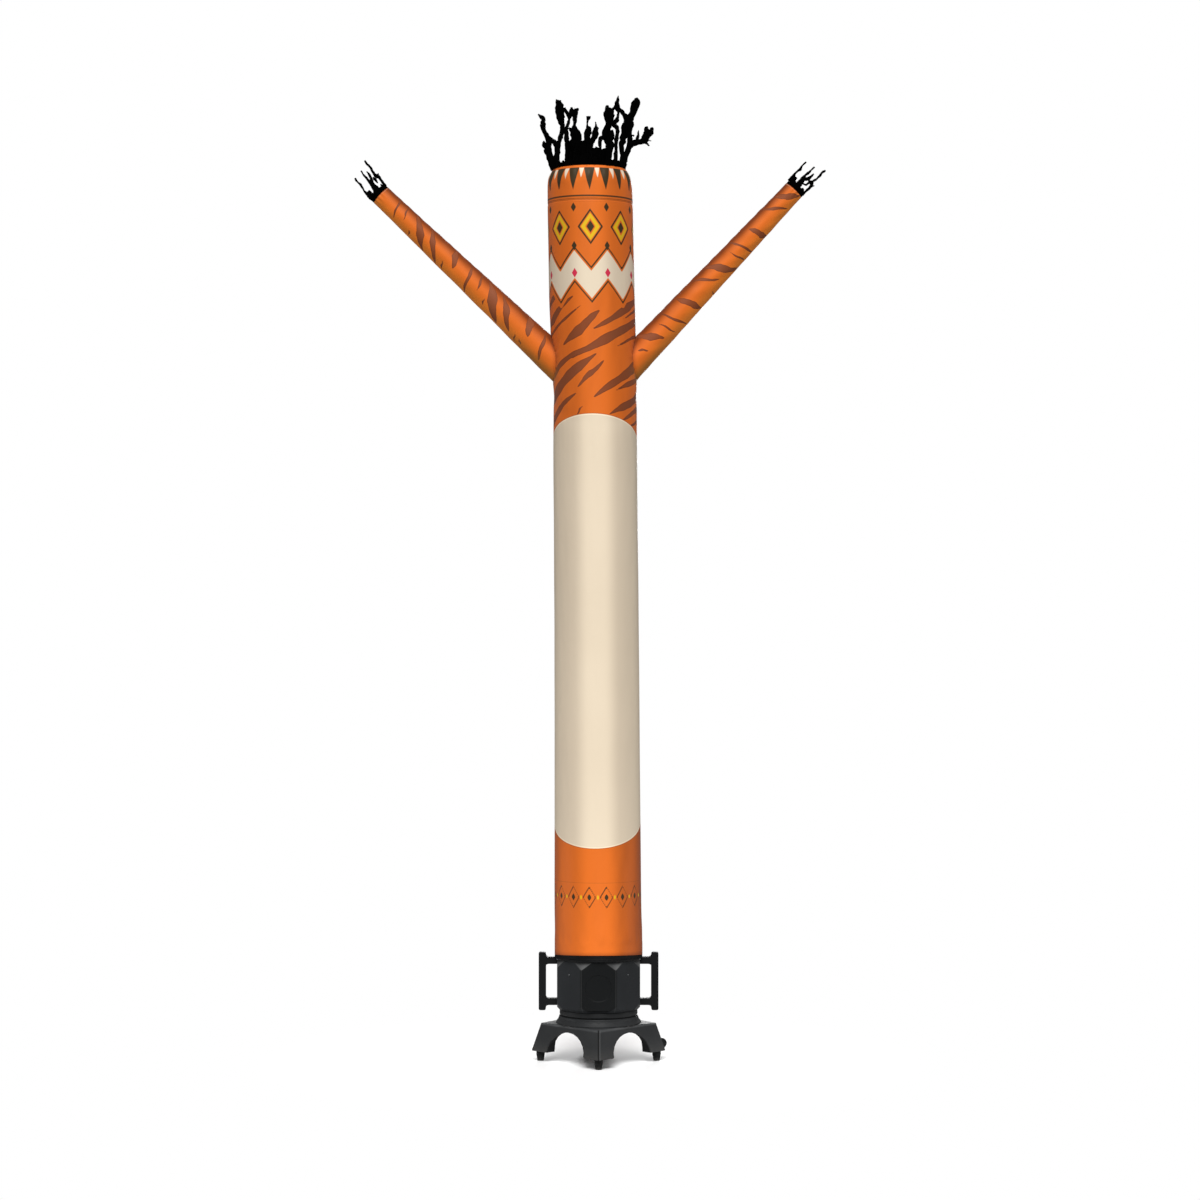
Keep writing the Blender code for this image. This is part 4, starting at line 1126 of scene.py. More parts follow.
def make_cap():
    """The crown of the head: radius from 0 to the seam and height
    rise * (1 - share^2.4), with gathers that fade towards the middle."""
    low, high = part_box("head_cap")
    edge, rise = (high.x - low.x) / 2, high.z - low.z - CLOTH
    middle = (low.x + high.x) / 2
    columns = 144
    share = np.concatenate([np.linspace(1.0, 0.06, 26), [0.015]])[:, None]
    turn = np.linspace(-math.pi, math.pi, columns + 1)[None, :]

    def crown(drop):
        """The crown's face, or its underside at a drop below."""
        gathers = 0.0014 * np.cos(24 * turn) * share**3 * (1 - fade(share, 0.93, 1.0))
        z = high.z - rise + rise * (1 - share**2.4) + gathers - drop
        r = edge * share * (1 - 0.006 * (drop > 0))
        x, y = middle + r * np.sin(turn), -r * np.cos(turn)
        return np.stack(np.broadcast_arrays(x, y, z), -1)[:, :-1]

    top, under = crown(0.0), crown(CLOTH)
    size = top.shape[0] * columns
    j = np.arange(columns)
    n = (j + 1) % columns
    last = size - columns
    rim = np.stack([j, size + j, size + n, n], -1)
    rows = top.shape[0]
    walls = [grid_faces(rows, columns), grid_faces(rows, columns, size)[:, ::-1], rim]
    # fans from the last ring to the middle, above and below
    fans = [
        np.stack([last + j, last + n, 2 * size + 0 * j], -1),
        np.stack([size + last + n, size + last + j, 2 * size + 1 + 0 * j], -1),
    ]
    faces = [np.concatenate(walls), np.concatenate(fans)]
    tips = [(middle, 0, high.z), (middle, 0, high.z - CLOTH)]
    points = np.concatenate([top.reshape(-1, 3), under.reshape(-1, 3), tips])
    corners = np.concatenate([block.ravel() for block in faces])
    uv = points[corners][:, :2]
    plain = ("stripe", "belly", "cream", "dark", "amber", "rose")
    marks = {key: np.full(len(points), FAR) for key in plain}
    # six seams from the middle to the edge
    around = np.arctan2(points[:, 0] - middle, -points[:, 1])
    out = np.hypot(points[:, 0] - middle, points[:, 1])
    marks["seam"] = np.clip(np.abs(wrap(around, math.pi / 3)) * out, 0, FAR)
    marks["run"] = out
    marks["shade"] = np.full(len(points), 0.1)
    marks["olive"] = marks["ochre"] = marks["side"] = np.zeros(len(points))
    cap = put_mesh("head_crown", points, faces, NYLON, uv, marks, sharp=60)
    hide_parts("head_cap")
    return cap


# ---- fringes --------------------------------------------------------------------
def strips(name, paths, across, widths, thickness, tape, seed, torn, bite, twist):
    """Cut strips of black cloth and the tape that holds them, in one mesh.
    paths is (strips, steps, 3) for the middle lines, across is (strips, 3) for
    the way that a strip is wide, and widths is (strips, steps). Each edge is
    torn: it goes in and out by up to torn every bite along it, with a few
    spurs. The strip turns and cups a little, and its two faces are thickness
    apart."""
    rng = np.random.default_rng(seed)
    count, steps, _ = paths.shape
    wide_steps = 5
    ahead = np.gradient(paths, axis=1)
    ahead /= np.linalg.norm(ahead, axis=2, keepdims=True)
    wide = across[:, None] - ahead * (across[:, None] * ahead).sum(2, keepdims=True)
    wide /= np.linalg.norm(wide, axis=2, keepdims=True)
    deep = np.cross(ahead, wide)
    s = np.linspace(0, 1, steps)
    turned = rng.normal(0, twist, (count, 1)) * s**1.5
    c, d = np.cos(turned)[..., None], np.sin(turned)[..., None]
    wide, deep = wide * c + deep * d, deep * c - wide * d
    gone = np.cumsum(np.linalg.norm(np.diff(paths, axis=1, prepend=paths[:, :1]), axis=2), 1) / bite
    bites, spurs, spur = 80, 0.12, 1.7
    knots = rng.uniform(-1, 1, (count, bites, 2)) * torn
    knots = knots + (rng.random((count, bites, 2)) < spurs) * spur * torn
    at = np.clip(gone.astype(int), 0, bites - 2)
    part = (gone - at)[..., None]
    strip_at = np.arange(count)[:, None]
    tears = knots[strip_at, at] * (1 - part) + knots[strip_at, at + 1] * part
    tears = tears * ((s > 0.05) & (s < 0.98))[None, :, None]
    half = widths[..., None] / 2
    sides = np.maximum(half + np.minimum(tears, 0.7 * half + 0.3 * torn), 0.0007)
    left, right = sides[..., 0], sides[..., 1]
    t = np.linspace(-1, 1, wide_steps)
    reach = np.where(t[None, None] < 0, left[..., None] * t, right[..., None] * t)
    cup = rng.normal(0, 0.14, (count, 1, 1)) * reach**2 / np.maximum(widths[..., None], 1e-4)
    sheet = paths[:, :, None] + wide[:, :, None] * reach[..., None] + deep[:, :, None] * cup[..., None]
    layer = deep[:, :, None] * (thickness / 2)
    front, behind = sheet + layer, sheet - layer
    # A strip's ring: its front from left to right, then its back the other way.
    ring = np.concatenate([front, behind[:, :, ::-1]], 2)
    loop = 2 * wide_steps
    one = grid_faces(steps, loop)
    j = np.arange(wide_steps - 1)
    ends = []
    for row, flipped in ((0, True), (steps - 1, False)):
        a = row * loop
        cap = np.stack([a + j, a + j + 1, a + loop - 2 - j, a + loop - 1 - j], -1)
        ends.append(cap[:, ::-1] if flipped else cap)
    one = np.concatenate([one, *ends])
    faces = (one[None] + (np.arange(count) * steps * loop)[:, None, None]).reshape(-1, 4)
    points = ring.reshape(-1, 3)
    from_edge = np.minimum(left[..., None], right[..., None]) * (1 - np.abs(t))
    edge = np.concatenate([from_edge, from_edge[:, :, ::-1]], 2).ravel()
    more, more_faces = tape
    faces = np.concatenate([faces, more_faces + len(points)])
    points = np.concatenate([points, more])
    edge = np.concatenate([edge, np.full(len(more), FAR)])
    return put_mesh(name, points, [faces], BLACK_NYLON, marks={"edge": edge}, sharp=70)


def ring_block(rings):
    """Points and faces of a closed band from its rings, one after the other."""
    rings = np.asarray(rings)
    return rings.reshape(-1, 3), grid_faces(rings.shape[0], rings.shape[1], loop_rows=True)


def through(points, steps, length=1.0):
    """Smooth curves through the points of several strips, (strips, points, 3),
    up to a share of their length. Between two points each is a cubic whose
    slope at a point is that from the point before it to the point after."""
    count = points.shape[1]
    slope = np.gradient(points, axis=1)
    at = np.linspace(0, (count - 1) * length, steps)
    i = np.clip(at.astype(int), 0, count - 2)
    t = (at - i)[None, :, None]
    return cubic(t, points[:, i], slope[:, i], points[:, i + 1], slope[:, i + 1])


def at_steps(rows, steps, length=1.0):
    """Rows of evenly spaced values, (strips, values), read off at more steps."""
    rows = np.asarray(rows, float)
    places = np.linspace(0, (rows.shape[1] - 1) * length, steps)
    i = np.clip(places.astype(int), 0, rows.shape[1] - 2)
    return rows[:, i] + (places - i) * (rows[:, i + 1] - rows[:, i])


ROOT_ABOVE = 0.002              # how far over the seam the locks start

# Locks that give the hair its outline, as seen from the front, in millimetres:
# the bearing of the root, half the width there, and then, for each point up to
# the tip, how far right of the head's middle, how far over 3 m, and half the
# width.
HAIR_LOCKS = (
    (-74, 12, -137, 170, 8, -141, 195, 8, -141, 212, 9, -146, 228, 9, -154, 243, 7, -160, 258, 8,
     -163, 272, 11, -163, 285, 7, -162, 297, 8, -171, 304, 6, -180, 311, 3),
    (-62, 15, -120, 152, 14, -118, 162, 9, -114, 174, 9, -112, 187, 11, -114, 203, 11, -128, 218, 8,
     -142, 232, 5, -152, 244, 3),
    (-86, 12, -139, 150, 8, -144, 165, 7, -149, 180, 8, -152, 193, 7, -158, 204, 9, -159, 212, 5,
     -160, 218, 2),
    (-61, 7, -112, 180, 6, -108, 205, 7, -104, 222, 7, -100, 238, 8, -95, 252, 10, -95, 268, 7,
     -98, 282, 10, -101, 295, 13, -103, 312, 15, -104, 332, 15, -107, 349, 12, -108, 356, 10, -108, 361, 10),
    (-36, 9, -76, 180, 8, -76, 205, 8, -81, 225, 8, -80, 242, 8, -83, 257, 8, -79, 269, 5,
     -73, 281, 4, -72, 295, 4, -76, 308, 6, -82, 321, 7, -89, 334, 5),
    (-28, 16, -50, 175, 17, -46, 205, 19, -46, 228, 18, -48, 246, 16, -51, 258, 11, -53, 270, 5,
     -51, 282, 6, -50, 296, 7, -51, 308, 10, -52, 318, 14, -50, 325, 11, -50, 330, 10),
    (-32, 5, -58, 200, 5, -60, 235, 5, -64, 256, 6, -74, 262, 4),
    (-36, 6, -78, 205, 5, -79, 235, 6, -81, 258, 6, -73, 280, 4, -71, 296, 4, -66, 309, 8,
     -62, 321, 7, -62, 336, 4),
    (-4, 15, -6, 180, 14, -6, 212, 13, -9, 232, 10, -6, 247, 12, -4, 260, 10, -7, 268, 5,
     -8, 278, 3, -7, 289, 4, -4, 298, 7, -4, 305, 8),
    (8, 12, 2, 185, 10, 6, 205, 7, 14, 224, 9, 19, 238, 11, 21, 250, 11, 23, 262, 7, 23, 272, 4, 21, 285, 1),
    (27, 10, 62, 180, 5, 62, 206, 5, 57, 226, 9, 46, 231, 8, 38, 223, 7, 37, 208, 6, 38, 193, 5),
    (29, 12, 69, 180, 12, 72, 201, 15, 67, 214, 12, 62, 229, 14, 57, 245, 14, 62, 260, 12,
     67, 275, 12, 70, 290, 15, 68, 306, 18, 67, 321, 18, 63, 333, 9, 64, 343, 3),
    (36, 6, 70, 190, 5, 71, 205, 6, 76, 222, 7, 80, 236, 8, 80, 248, 6, 81, 257, 2),
    (43, 8, 92, 155, 7, 93, 182, 6, 93, 206, 6, 95, 226, 8, 97, 240, 6, 98, 254, 5, 95, 266, 6,
     87, 274, 7, 81, 288, 5, 80, 300, 5),
    (45, 5, 95, 206, 4, 97, 236, 5, 98, 255, 5, 92, 268, 6, 89, 279, 6, 95, 291, 7, 101, 305, 4,
     101, 320, 4, 98, 333, 10, 97, 345, 8, 98, 356, 6, 100, 366, 4, 101, 376, 2),
    (34, 4, 72, 215, 4, 68, 262, 5, 78, 300, 5, 79, 318, 6, 83, 329, 5, 91, 337, 6, 96, 350, 5),
    (60, 6, 113, 180, 4, 112, 215, 5, 116, 245, 6, 122, 268, 8, 130, 289, 10, 122, 308, 8,
     112, 321, 6, 103, 333, 4),
    (64, 10, 114, 150, 8, 117, 165, 7, 114, 182, 9, 112, 200, 9, 116, 215, 10, 121, 230, 9,
     130, 244, 17, 130, 256, 18, 132, 267, 21, 136, 276, 20, 134, 285, 14, 139, 294, 14, 146, 305, 12,
     152, 316, 12, 156, 330, 14, 161, 345, 16, 165, 357, 13, 163, 369, 5),
    (72, 4, 124, 152, 5, 133, 168, 4, 138, 180, 5, 138, 192, 9, 143, 203, 12, 155, 211, 10,
     168, 213, 10, 182, 216, 9, 192, 222, 13, 199, 235, 13, 203, 247, 15, 200, 258, 9, 198, 269, 5),
    (70, 4, 130, 170, 3, 134, 192, 5, 140, 210, 8, 143, 224, 8, 142, 238, 5, 144, 250, 5, 142, 262, 8),
    (74, 4, 136, 185, 4, 148, 203, 6, 160, 213, 6, 168, 226, 6, 171, 240, 4, 171, 255, 1),
    (73, 4, 138, 188, 4, 155, 208, 5, 180, 216, 6, 198, 228, 7, 208, 239, 8, 215, 246, 8,
     218, 256, 5, 217, 265, 4),
    (73, 4, 138, 186, 4, 155, 206, 5, 180, 213, 6, 196, 218, 6, 206, 219, 3, 216, 218, 1),
    (74, 4, 136, 184, 4, 155, 204, 5, 178, 210, 5, 194, 211, 4, 203, 207, 3, 210, 200, 2),
    (68, 4, 132, 200, 3, 138, 225, 5, 141, 236, 6, 148, 238, 4, 157, 236, 2),
)


def outline_locks(middle, radius, steps, side, rng):
    """Middle lines and widths of the hair's outline locks, round the front
    (side 1) or, shorter by an uneven share, round the back (side -1). What is
    seen at the head's middle plane is drawn nearer the view's centre, or
    further from it, by depth / distance."""
    paths, widths = [], []
    for bearing, root_half, *seen in HAIR_LOCKS:
        seen = np.reshape(seen, (-1, 3)) * 0.001
        share = np.linspace(0, 1, len(seen) + 1)
        t = math.radians(bearing)
        root_y = -side * radius * math.cos(t)
        depth = (root_y * (1 + 0.10 * share) + rng.uniform(-0.004, 0.004) * share)[1:]
        nearer = 1 + depth / CAMERA_AWAY
        z = CAMERA_HEIGHT + (3 + seen[:, 1] - CAMERA_HEIGHT) * nearer
        points = np.stack([seen[:, 0] * nearer, depth, z], -1)
        root = (radius * math.sin(t), root_y, SEAM_Z + ROOT_ABOVE)
        half = np.concatenate([[root_half * 0.001], seen[:, 2]])
        length = 1.0 if side > 0 else rng.uniform(0.55, 0.95)
        paths.append(through(np.vstack([root, points])[None], steps, length)[0])
        widths.append(at_steps(2 * half[None], steps, length)[0])
    return np.array(paths) + middle, np.array(widths)


def filling_locks(middle, radius, steps, top, rng):
    """Wide short locks that close the front into a band, and uneven ones round
    the back, which the photograph doesn't show. Each rises by its length times
    share and leans out by length * share^1.6, with a sway to the side."""
    # bearing, length, how much it spreads out and half its width
    plan = [(b, rng.uniform(0.076, 0.086), 0.3, 0.014) for b in np.linspace(-37, -2, 10)]
    plan += [(b, rng.uniform(0.050, 0.060), 0.3, 0.011) for b in np.linspace(2, 26, 6)]
    plan += [(b, rng.uniform(0.018, 0.026), 0.2, 0.009) for b in np.linspace(31, 82, 9)]
    plan += [(b, rng.uniform(0.010, 0.016), 0.2, 0.009) for b in np.linspace(-88, -44, 9)]
    plan += [(b, rng.uniform(0.020, 0.032), 0.4, 0.011) for b in np.linspace(94, 168, 10)]
    plan += [(b, rng.uniform(0.040, 0.066), 0.4, 0.013) for b in np.linspace(172, 222, 8)]
    plan += [(b, rng.uniform(0.012, 0.028), 0.4, 0.011) for b in np.linspace(226, 268, 6)]
    count = len(plan)
    bearing, length, spread, half = np.array(plan).T
    t = np.radians(bearing + rng.uniform(-1, 1, count))
    out = outward(t)
    side = np.stack([np.cos(t), np.sin(t), 0 * t], -1)
    lean = rng.uniform(0.0, 0.36, count) * spread
    sway = rng.uniform(-0.10, 0.10, (count, 5)) * np.array([0, 0.3, 0.7, 1.0, 1.3])
    share = np.array([0, 0.3, 0.58, 0.8, 1.0])
    rise = length[:, None] * share * np.sqrt(1 - lean[:, None] ** 2)
    ahead = length[:, None] * share**1.6 * lean[:, None]
    swayed = (sway * length[:, None] * 0.5)[..., None]
    points = out[:, None] * (radius + ahead[..., None]) + side[:, None] * swayed
    points[..., 2] = np.minimum(SEAM_Z + ROOT_ABOVE + rise, top - 0.006)
    shape = rng.uniform(0.7, 1.1, (count, 5)) * np.array([1.2, 1.0, 0.95, 0.9, 0.75])
    return through(points + middle, steps), at_steps(2 * half[:, None] * shape, steps), side


def make_hair():
    """The black crown of torn strips, and the tape that they are cut from."""
    low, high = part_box("hair_fringe")
    middle = np.array([AXIS + HEAD_LEAN, 0.0, 0.0])
    radius = SEAM_RADIUS - 0.0012
    rng = np.random.default_rng(12)
    steps = 48
    paths, widths = outline_locks(middle, radius, steps, 1, rng)
    behind, behind_widths = outline_locks(middle, radius, steps, -1, rng)
    paths, widths = np.concatenate([paths, behind]), np.concatenate([widths, behind_widths * 0.92])
    # A second, narrower strip stands crosswise on each, which gives the locks
    # body from the side as well.
    facing = np.repeat([[1.0, 0.0, 0.0], [0.0, 1.0, 0.0]], len(paths), axis=0)
    paths, widths = np.concatenate([paths, paths]), np.concatenate([widths, widths * 0.62])
    more_paths, more_widths, side = filling_locks(middle, radius, steps, high.z, rng)
    paths, widths = np.concatenate([paths, more_paths]), np.concatenate([widths, more_widths])
    across = np.concatenate([facing, side])
    s = np.linspace(0, 1, steps)
    kinks = rng.normal(0, 0.0003, paths.shape) * (s > 0.1)[None, :, None]
    out = outward(np.linspace(0, 2 * math.pi, 160, endpoint=False))
    inside, outside = SEAM_RADIUS - 0.0022, SEAM_RADIUS - 0.0004
    tape_low, tape_high = low.z, SEAM_Z + 0.012
    wall = [(inside, tape_low), (outside, tape_low), (outside, tape_high), (inside, tape_high)]
    tape = ring_block([middle + out * r + (0, 0, z) for r, z in wall])
    hair = strips(
        "hair_strips", paths + kinks, across, widths, 0.0011, tape,
        seed=13, torn=0.0014, bite=0.007, twist=0.12,
    )
    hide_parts("hair_fringe")
    return hair


CUFF = 0.022                    # how far a hand's cuff goes past the sleeve's end

# Strips of the hands, as seen from the front, in millimetres: 1 at the front
# and -1 at the back, half the width at the root, and then, for each point up
# to the tip, how far ahead of the sleeve's end, how far towards its upper side,
# and half the width.
HANDS = {
    "left": (
        (1, 11, 24, -27, 11, 33, -26, 11, 41, -26, 10),
        (1, 7, 20, -31, 7, 35, -31, 6, 43, -31, 4.5, 51, -30, 3.2, 58, -28, 3.2, 65, -26.5, 3.6, 72, -24, 4.6,
         79, -23.5, 4.4, 86, -24, 3.2, 92, -23.5, 2.4, 99, -22, 3.2, 106, -20.5, 2.6),
        (1, 10, 25, 2, 11, 35, 3, 9.5, 45, 4.5, 8, 55, 5, 6, 65, 4.8, 4, 75, 7, 4.4, 83, 7.5, 3.6,
         91, 8, 2.8, 98, 10, 2.9, 106, 12.5, 2.8),
        (-1, 8, 28, -1, 7, 40, 4, 6, 52, 6, 5.5, 60, 6, 4),
        (1, 6, 25, 6, 5, 40, 6, 5, 54, 12, 5, 63, 18, 5, 70, 20, 5, 77, 22.5, 4, 83, 23.5, 3, 90, 24, 2),
        (1, 5, 22, 35, 4, 35, 38, 3.5, 48, 38, 4, 56, 33, 4.5, 56, 27, 5.5, 49, 25, 5,
         43, 23.5, 3.2, 36, 23, 1.2),
        (1, 5, 15, 35, 4.6, 25, 35.5, 4, 35, 37.5, 4.2, 45, 40, 4.4, 53, 41, 5, 60, 38, 6.2, 67, 36.5, 5,
         74, 38, 4.4, 82, 41, 4.4, 90, 44, 4.2, 100, 45, 4.2, 110, 45, 3.8, 118, 47, 3.6, 125, 48.5, 2.6),
        (-1, 5, 20, 35, 4, 40, 40, 4, 54, 43, 4, 60, 46, 3, 63, 50, 1),
        (1, 5, 35, 5, 5, 50, 7, 5, 57, 14, 5, 58, 24, 5, 58, 33, 4.6, 57, 39, 4),
        (-1, 9, 24, -26, 9, 34, -25, 9, 40, -27, 8),
    ),
    "right": (
        (1, 11, 24, 29, 11, 32, 29.5, 11, 38, 30, 10),
        (1, 7, 20, 33, 7, 35, 34, 6, 43, 36, 4.2, 52, 36.3, 3.4, 60, 35.3, 4.2, 68, 33.5, 5.4, 75, 35.5, 4.2,
         82, 37, 2.8, 90, 37, 2.6, 97, 36, 3.6, 102, 36, 2.6),
        (1, 10, 25, 0, 11, 35, 1, 9.5, 45, 2.5, 8, 55, 4.5, 6, 64, 4.8, 4, 73, 3.5, 5, 80, 3.3, 3.8,
         88, 3, 3, 97, 2, 3.1, 106, 1.5, 2.6),
        (-1, 8, 28, 1, 7, 40, 2, 6, 52, 4, 5.5, 60, 5, 4),
        (1, 6, 30, -2, 5, 45, -2, 4.5, 55, -7, 6, 63, -11, 6, 70, -12, 4.4, 77, -13, 3.8, 87, -13, 2.2),
        (1, 5, 22, -33, 3.5, 38, -34, 3.5, 50, -33, 4, 58, -28, 5, 58, -22, 5.5, 50, -20, 4,
         43, -18, 3, 40, -13, 2.6, 39, -6, 3),
        (1, 5, 12, -34, 4.2, 20, -33, 3.6, 30, -32.8, 3.4, 40, -34, 3.8, 50, -34.5, 4.4, 58, -32.5, 5.6,
         66, -27.5, 4.6, 74, -28.5, 4.2, 82, -30.8, 3.5, 92, -31.7, 3.6, 102, -31.3, 3.8, 112, -29.5, 3.8,
         119, -31, 4.2, 127, -33, 2.6),
        (-1, 5, 20, -32, 4, 40, -34, 4, 54, -35, 4, 60, -38, 3, 64, -42, 1),
        (1, 5, 35, 0, 5, 48, -1, 5, 57, -8, 5.4, 60, -18, 5, 59, -27, 4.6, 56, -32, 4),
        (-1, 9, 24, 28, 9, 32, 28, 9, 37, 30, 8),
    ),
}


def make_hand(name, arm):
    """A black cuff round the sleeve's end and the torn strips cut from it."""
    end, way, up = arm_lines(arm)
    depth = np.array([0.0, 1.0, 0.0])
    cuff, rim = CUFF, arm["tip"]
    steps = 40
    paths, widths = [], []
    for front, root_half, *seen in HANDS[name]:
        seen = np.reshape(seen, (-1, 3)) * 0.001
        share = np.linspace(0, 1, len(seen) + 1)
        root_up = np.clip(seen[0, 1], -0.95 * rim, 0.95 * rim)
        root_deep = -front * math.sqrt((0.985 * rim) ** 2 - root_up**2)
        ahead = np.concatenate([[cuff * 0.5], seen[:, 0]])
        upward = np.concatenate([[root_up], seen[:, 1]])
        deep = root_deep * (1 - 0.14 * share)
        points = end + ahead[:, None] * way + upward[:, None] * up + deep[:, None] * depth
        paths.append(through(points[None], steps)[0])
        half = np.concatenate([[root_half * 0.001], seen[:, 2]])
        widths.append(at_steps(2 * half[None], steps)[0])
    paths, widths = np.array(paths), np.array(widths)
    ring = np.linspace(0, 2 * math.pi, 96, endpoint=False)
    flat = up * np.cos(ring)[:, None] + depth * np.sin(ring)[:, None]
    wall = 0.0016

    def band(radius, at, tear=0.0):
        """A ring round the sleeve's line, at a distance ahead of its end."""
        uneven = tear * waver(9 * np.cos(ring), 9 * np.sin(ring), 60 + arm["side"])
        return end + way * (at + uneven)[:, None] + flat * (radius + 0 * ring)[:, None]

    start = 0.0004 + 0 * ring
    edge = cuff + 0 * ring
    rings = [
        band(rim - wall, start),
        band(rim + 0.0002, start),
        band(rim * 1.012, start + 0.008),
        band(rim * 0.995, start + 0.018),
        band(rim * 0.985, edge, 0.006),
        band(rim * 0.985 - wall, edge, 0.006),
        band(rim * 0.995 - wall, start + 0.018),
        band(rim * 1.012 - wall, start + 0.008),
    ]
    order = rings if arm["side"] > 0 else rings[::-1]
    across = np.tile(up, (len(paths), 1))
    seed = 70 + arm["side"]
    hand = strips(
        f"hand_strips_{name}", paths, across, widths, 0.0010, ring_block(order),
        seed, torn=0.0007, bite=0.005, twist=0.08,
    )
    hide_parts(f"hand_fringe_{name}")
    return hand


# ---- blower ---------------------------------------------------------------------
BORE = 0.126                    # radius of the air's way
COLLAR = 0.1514                 # radius of the collar under the hem
DRUM = {
    "flat": 0.1446,                 # from the axis to a facet
    "chamfer": (0.027, 0.0142),     # height and depth of the cut upper corners
    "low_chamfer": (0.017, 0.009),  # and of the lower ones
    "foot": 0.009,                  # height of its narrower foot
    "narrower": 0.0081,             # and how far that draws in
    "raised": 0.007,                # its top edge, under the flange
    "seat": (0.046, 0.0014),        # radius and depth of the round seat in front
}


def make_rings():
    """The outlet ring with its collar and the neck ring with its groove, turned
    with small rounded corners."""
    low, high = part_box("outlet_ring")
    flange = (high.x - low.x) / 2
    shelf = low.z + 0.0187
    under = low.z + DRUM["raised"]
    profile = [
        (BORE, under),
        (flange - 0.003, under),
        (flange, under + 0.003),
        (flange, shelf - 0.0045),
        (flange - 0.0012, shelf - 0.0038),
        (flange - 0.0012, shelf - 0.0028),
        (flange, shelf - 0.0022),
        (flange - 0.0006, shelf),
        (COLLAR, shelf),
        (COLLAR, high.z - 0.003),
        (COLLAR - 0.003, high.z),
        (COLLAR - 0.008, high.z),
        (COLLAR - 0.008, shelf - 0.006),
        (BORE, shelf - 0.012),
    ]
    outlet = lathe("outlet_flange", round_corners(profile, 0.0005), 160, TRIM_PLASTIC)
    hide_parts("outlet_ring")

    low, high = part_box("neck_ring")
    wide = (high.x - low.x) / 2
    profile = [
        (BORE, low.z),
        (wide - 0.0065, low.z),
        (wide - 0.0065, 0.1630),
        (wide - 0.0010, 0.1640),
        (wide + 0.0004, 0.1670),
        (wide - 0.0002, 0.1800),
        (wide - 0.0016, 0.1826),
        (wide - 0.0040, high.z),
        (BORE, high.z),
    ]
    neck = lathe("neck_band", round_corners(profile, 0.0012), 160, SHADED_NECK_PLASTIC)
    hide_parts("neck_ring")
    # The base's flare: a hollow curve out to the deck, over a thin gap.
    profile = [
        (wide - 0.0060, 0.1316),
        (wide + 0.0100, 0.1316),
        (wide + 0.0102, 0.1352),
        (wide + 0.0142, 0.1362),
        (wide + 0.0128, 0.1382),
        (wide + 0.0080, 0.1437),
        (wide + 0.0044, 0.1490),
        (wide + 0.0026, 0.1540),
        (wide + 0.0022, 0.1578),
        (wide + 0.0006, 0.1598),
        (wide - 0.0060, 0.1604),
    ]
    flare = lathe("flare_band", round_corners(profile, 0.0012), 160, FLARE_PLASTIC)


def drum_reach(turn, z, low, high):
    """How far out the drum's wall stands at a bearing and height: the smooth
    least of eight facets, flat / cos, and of planes that cut its corners by
    depth * share, with -k log(sum(exp(-(r - near) / k))) + near for the least."""
    k, near = 0.0005, 0.14
    narrow = np.clip((low + DRUM["foot"] - z) / DRUM["foot"], 0, 1)
    flat = DRUM["flat"] - DRUM["narrower"] * narrow
    corner = flat / math.cos(math.pi / 8)
    rise, depth = DRUM["chamfer"]
    cut = depth * np.clip((z - high + rise) / rise, 0, 1)
    rise, depth = DRUM["low_chamfer"]
    cut = np.maximum(cut, depth * np.clip((low + DRUM["foot"] + rise - z) / rise, 0, 1))
    to_facet = wrap(turn, math.pi / 4)
    to_corner = wrap(turn + math.pi / 8, math.pi / 4)
    total = np.exp(-(flat / np.cos(to_facet) - near) / k)
    total = total + np.exp(-(flat / np.cos(math.pi / 4 - np.abs(to_facet)) - near) / k)
    total = total + np.exp(-((corner - cut) / np.cos(to_corner) - near) / k)
    return near - k * np.log(total)


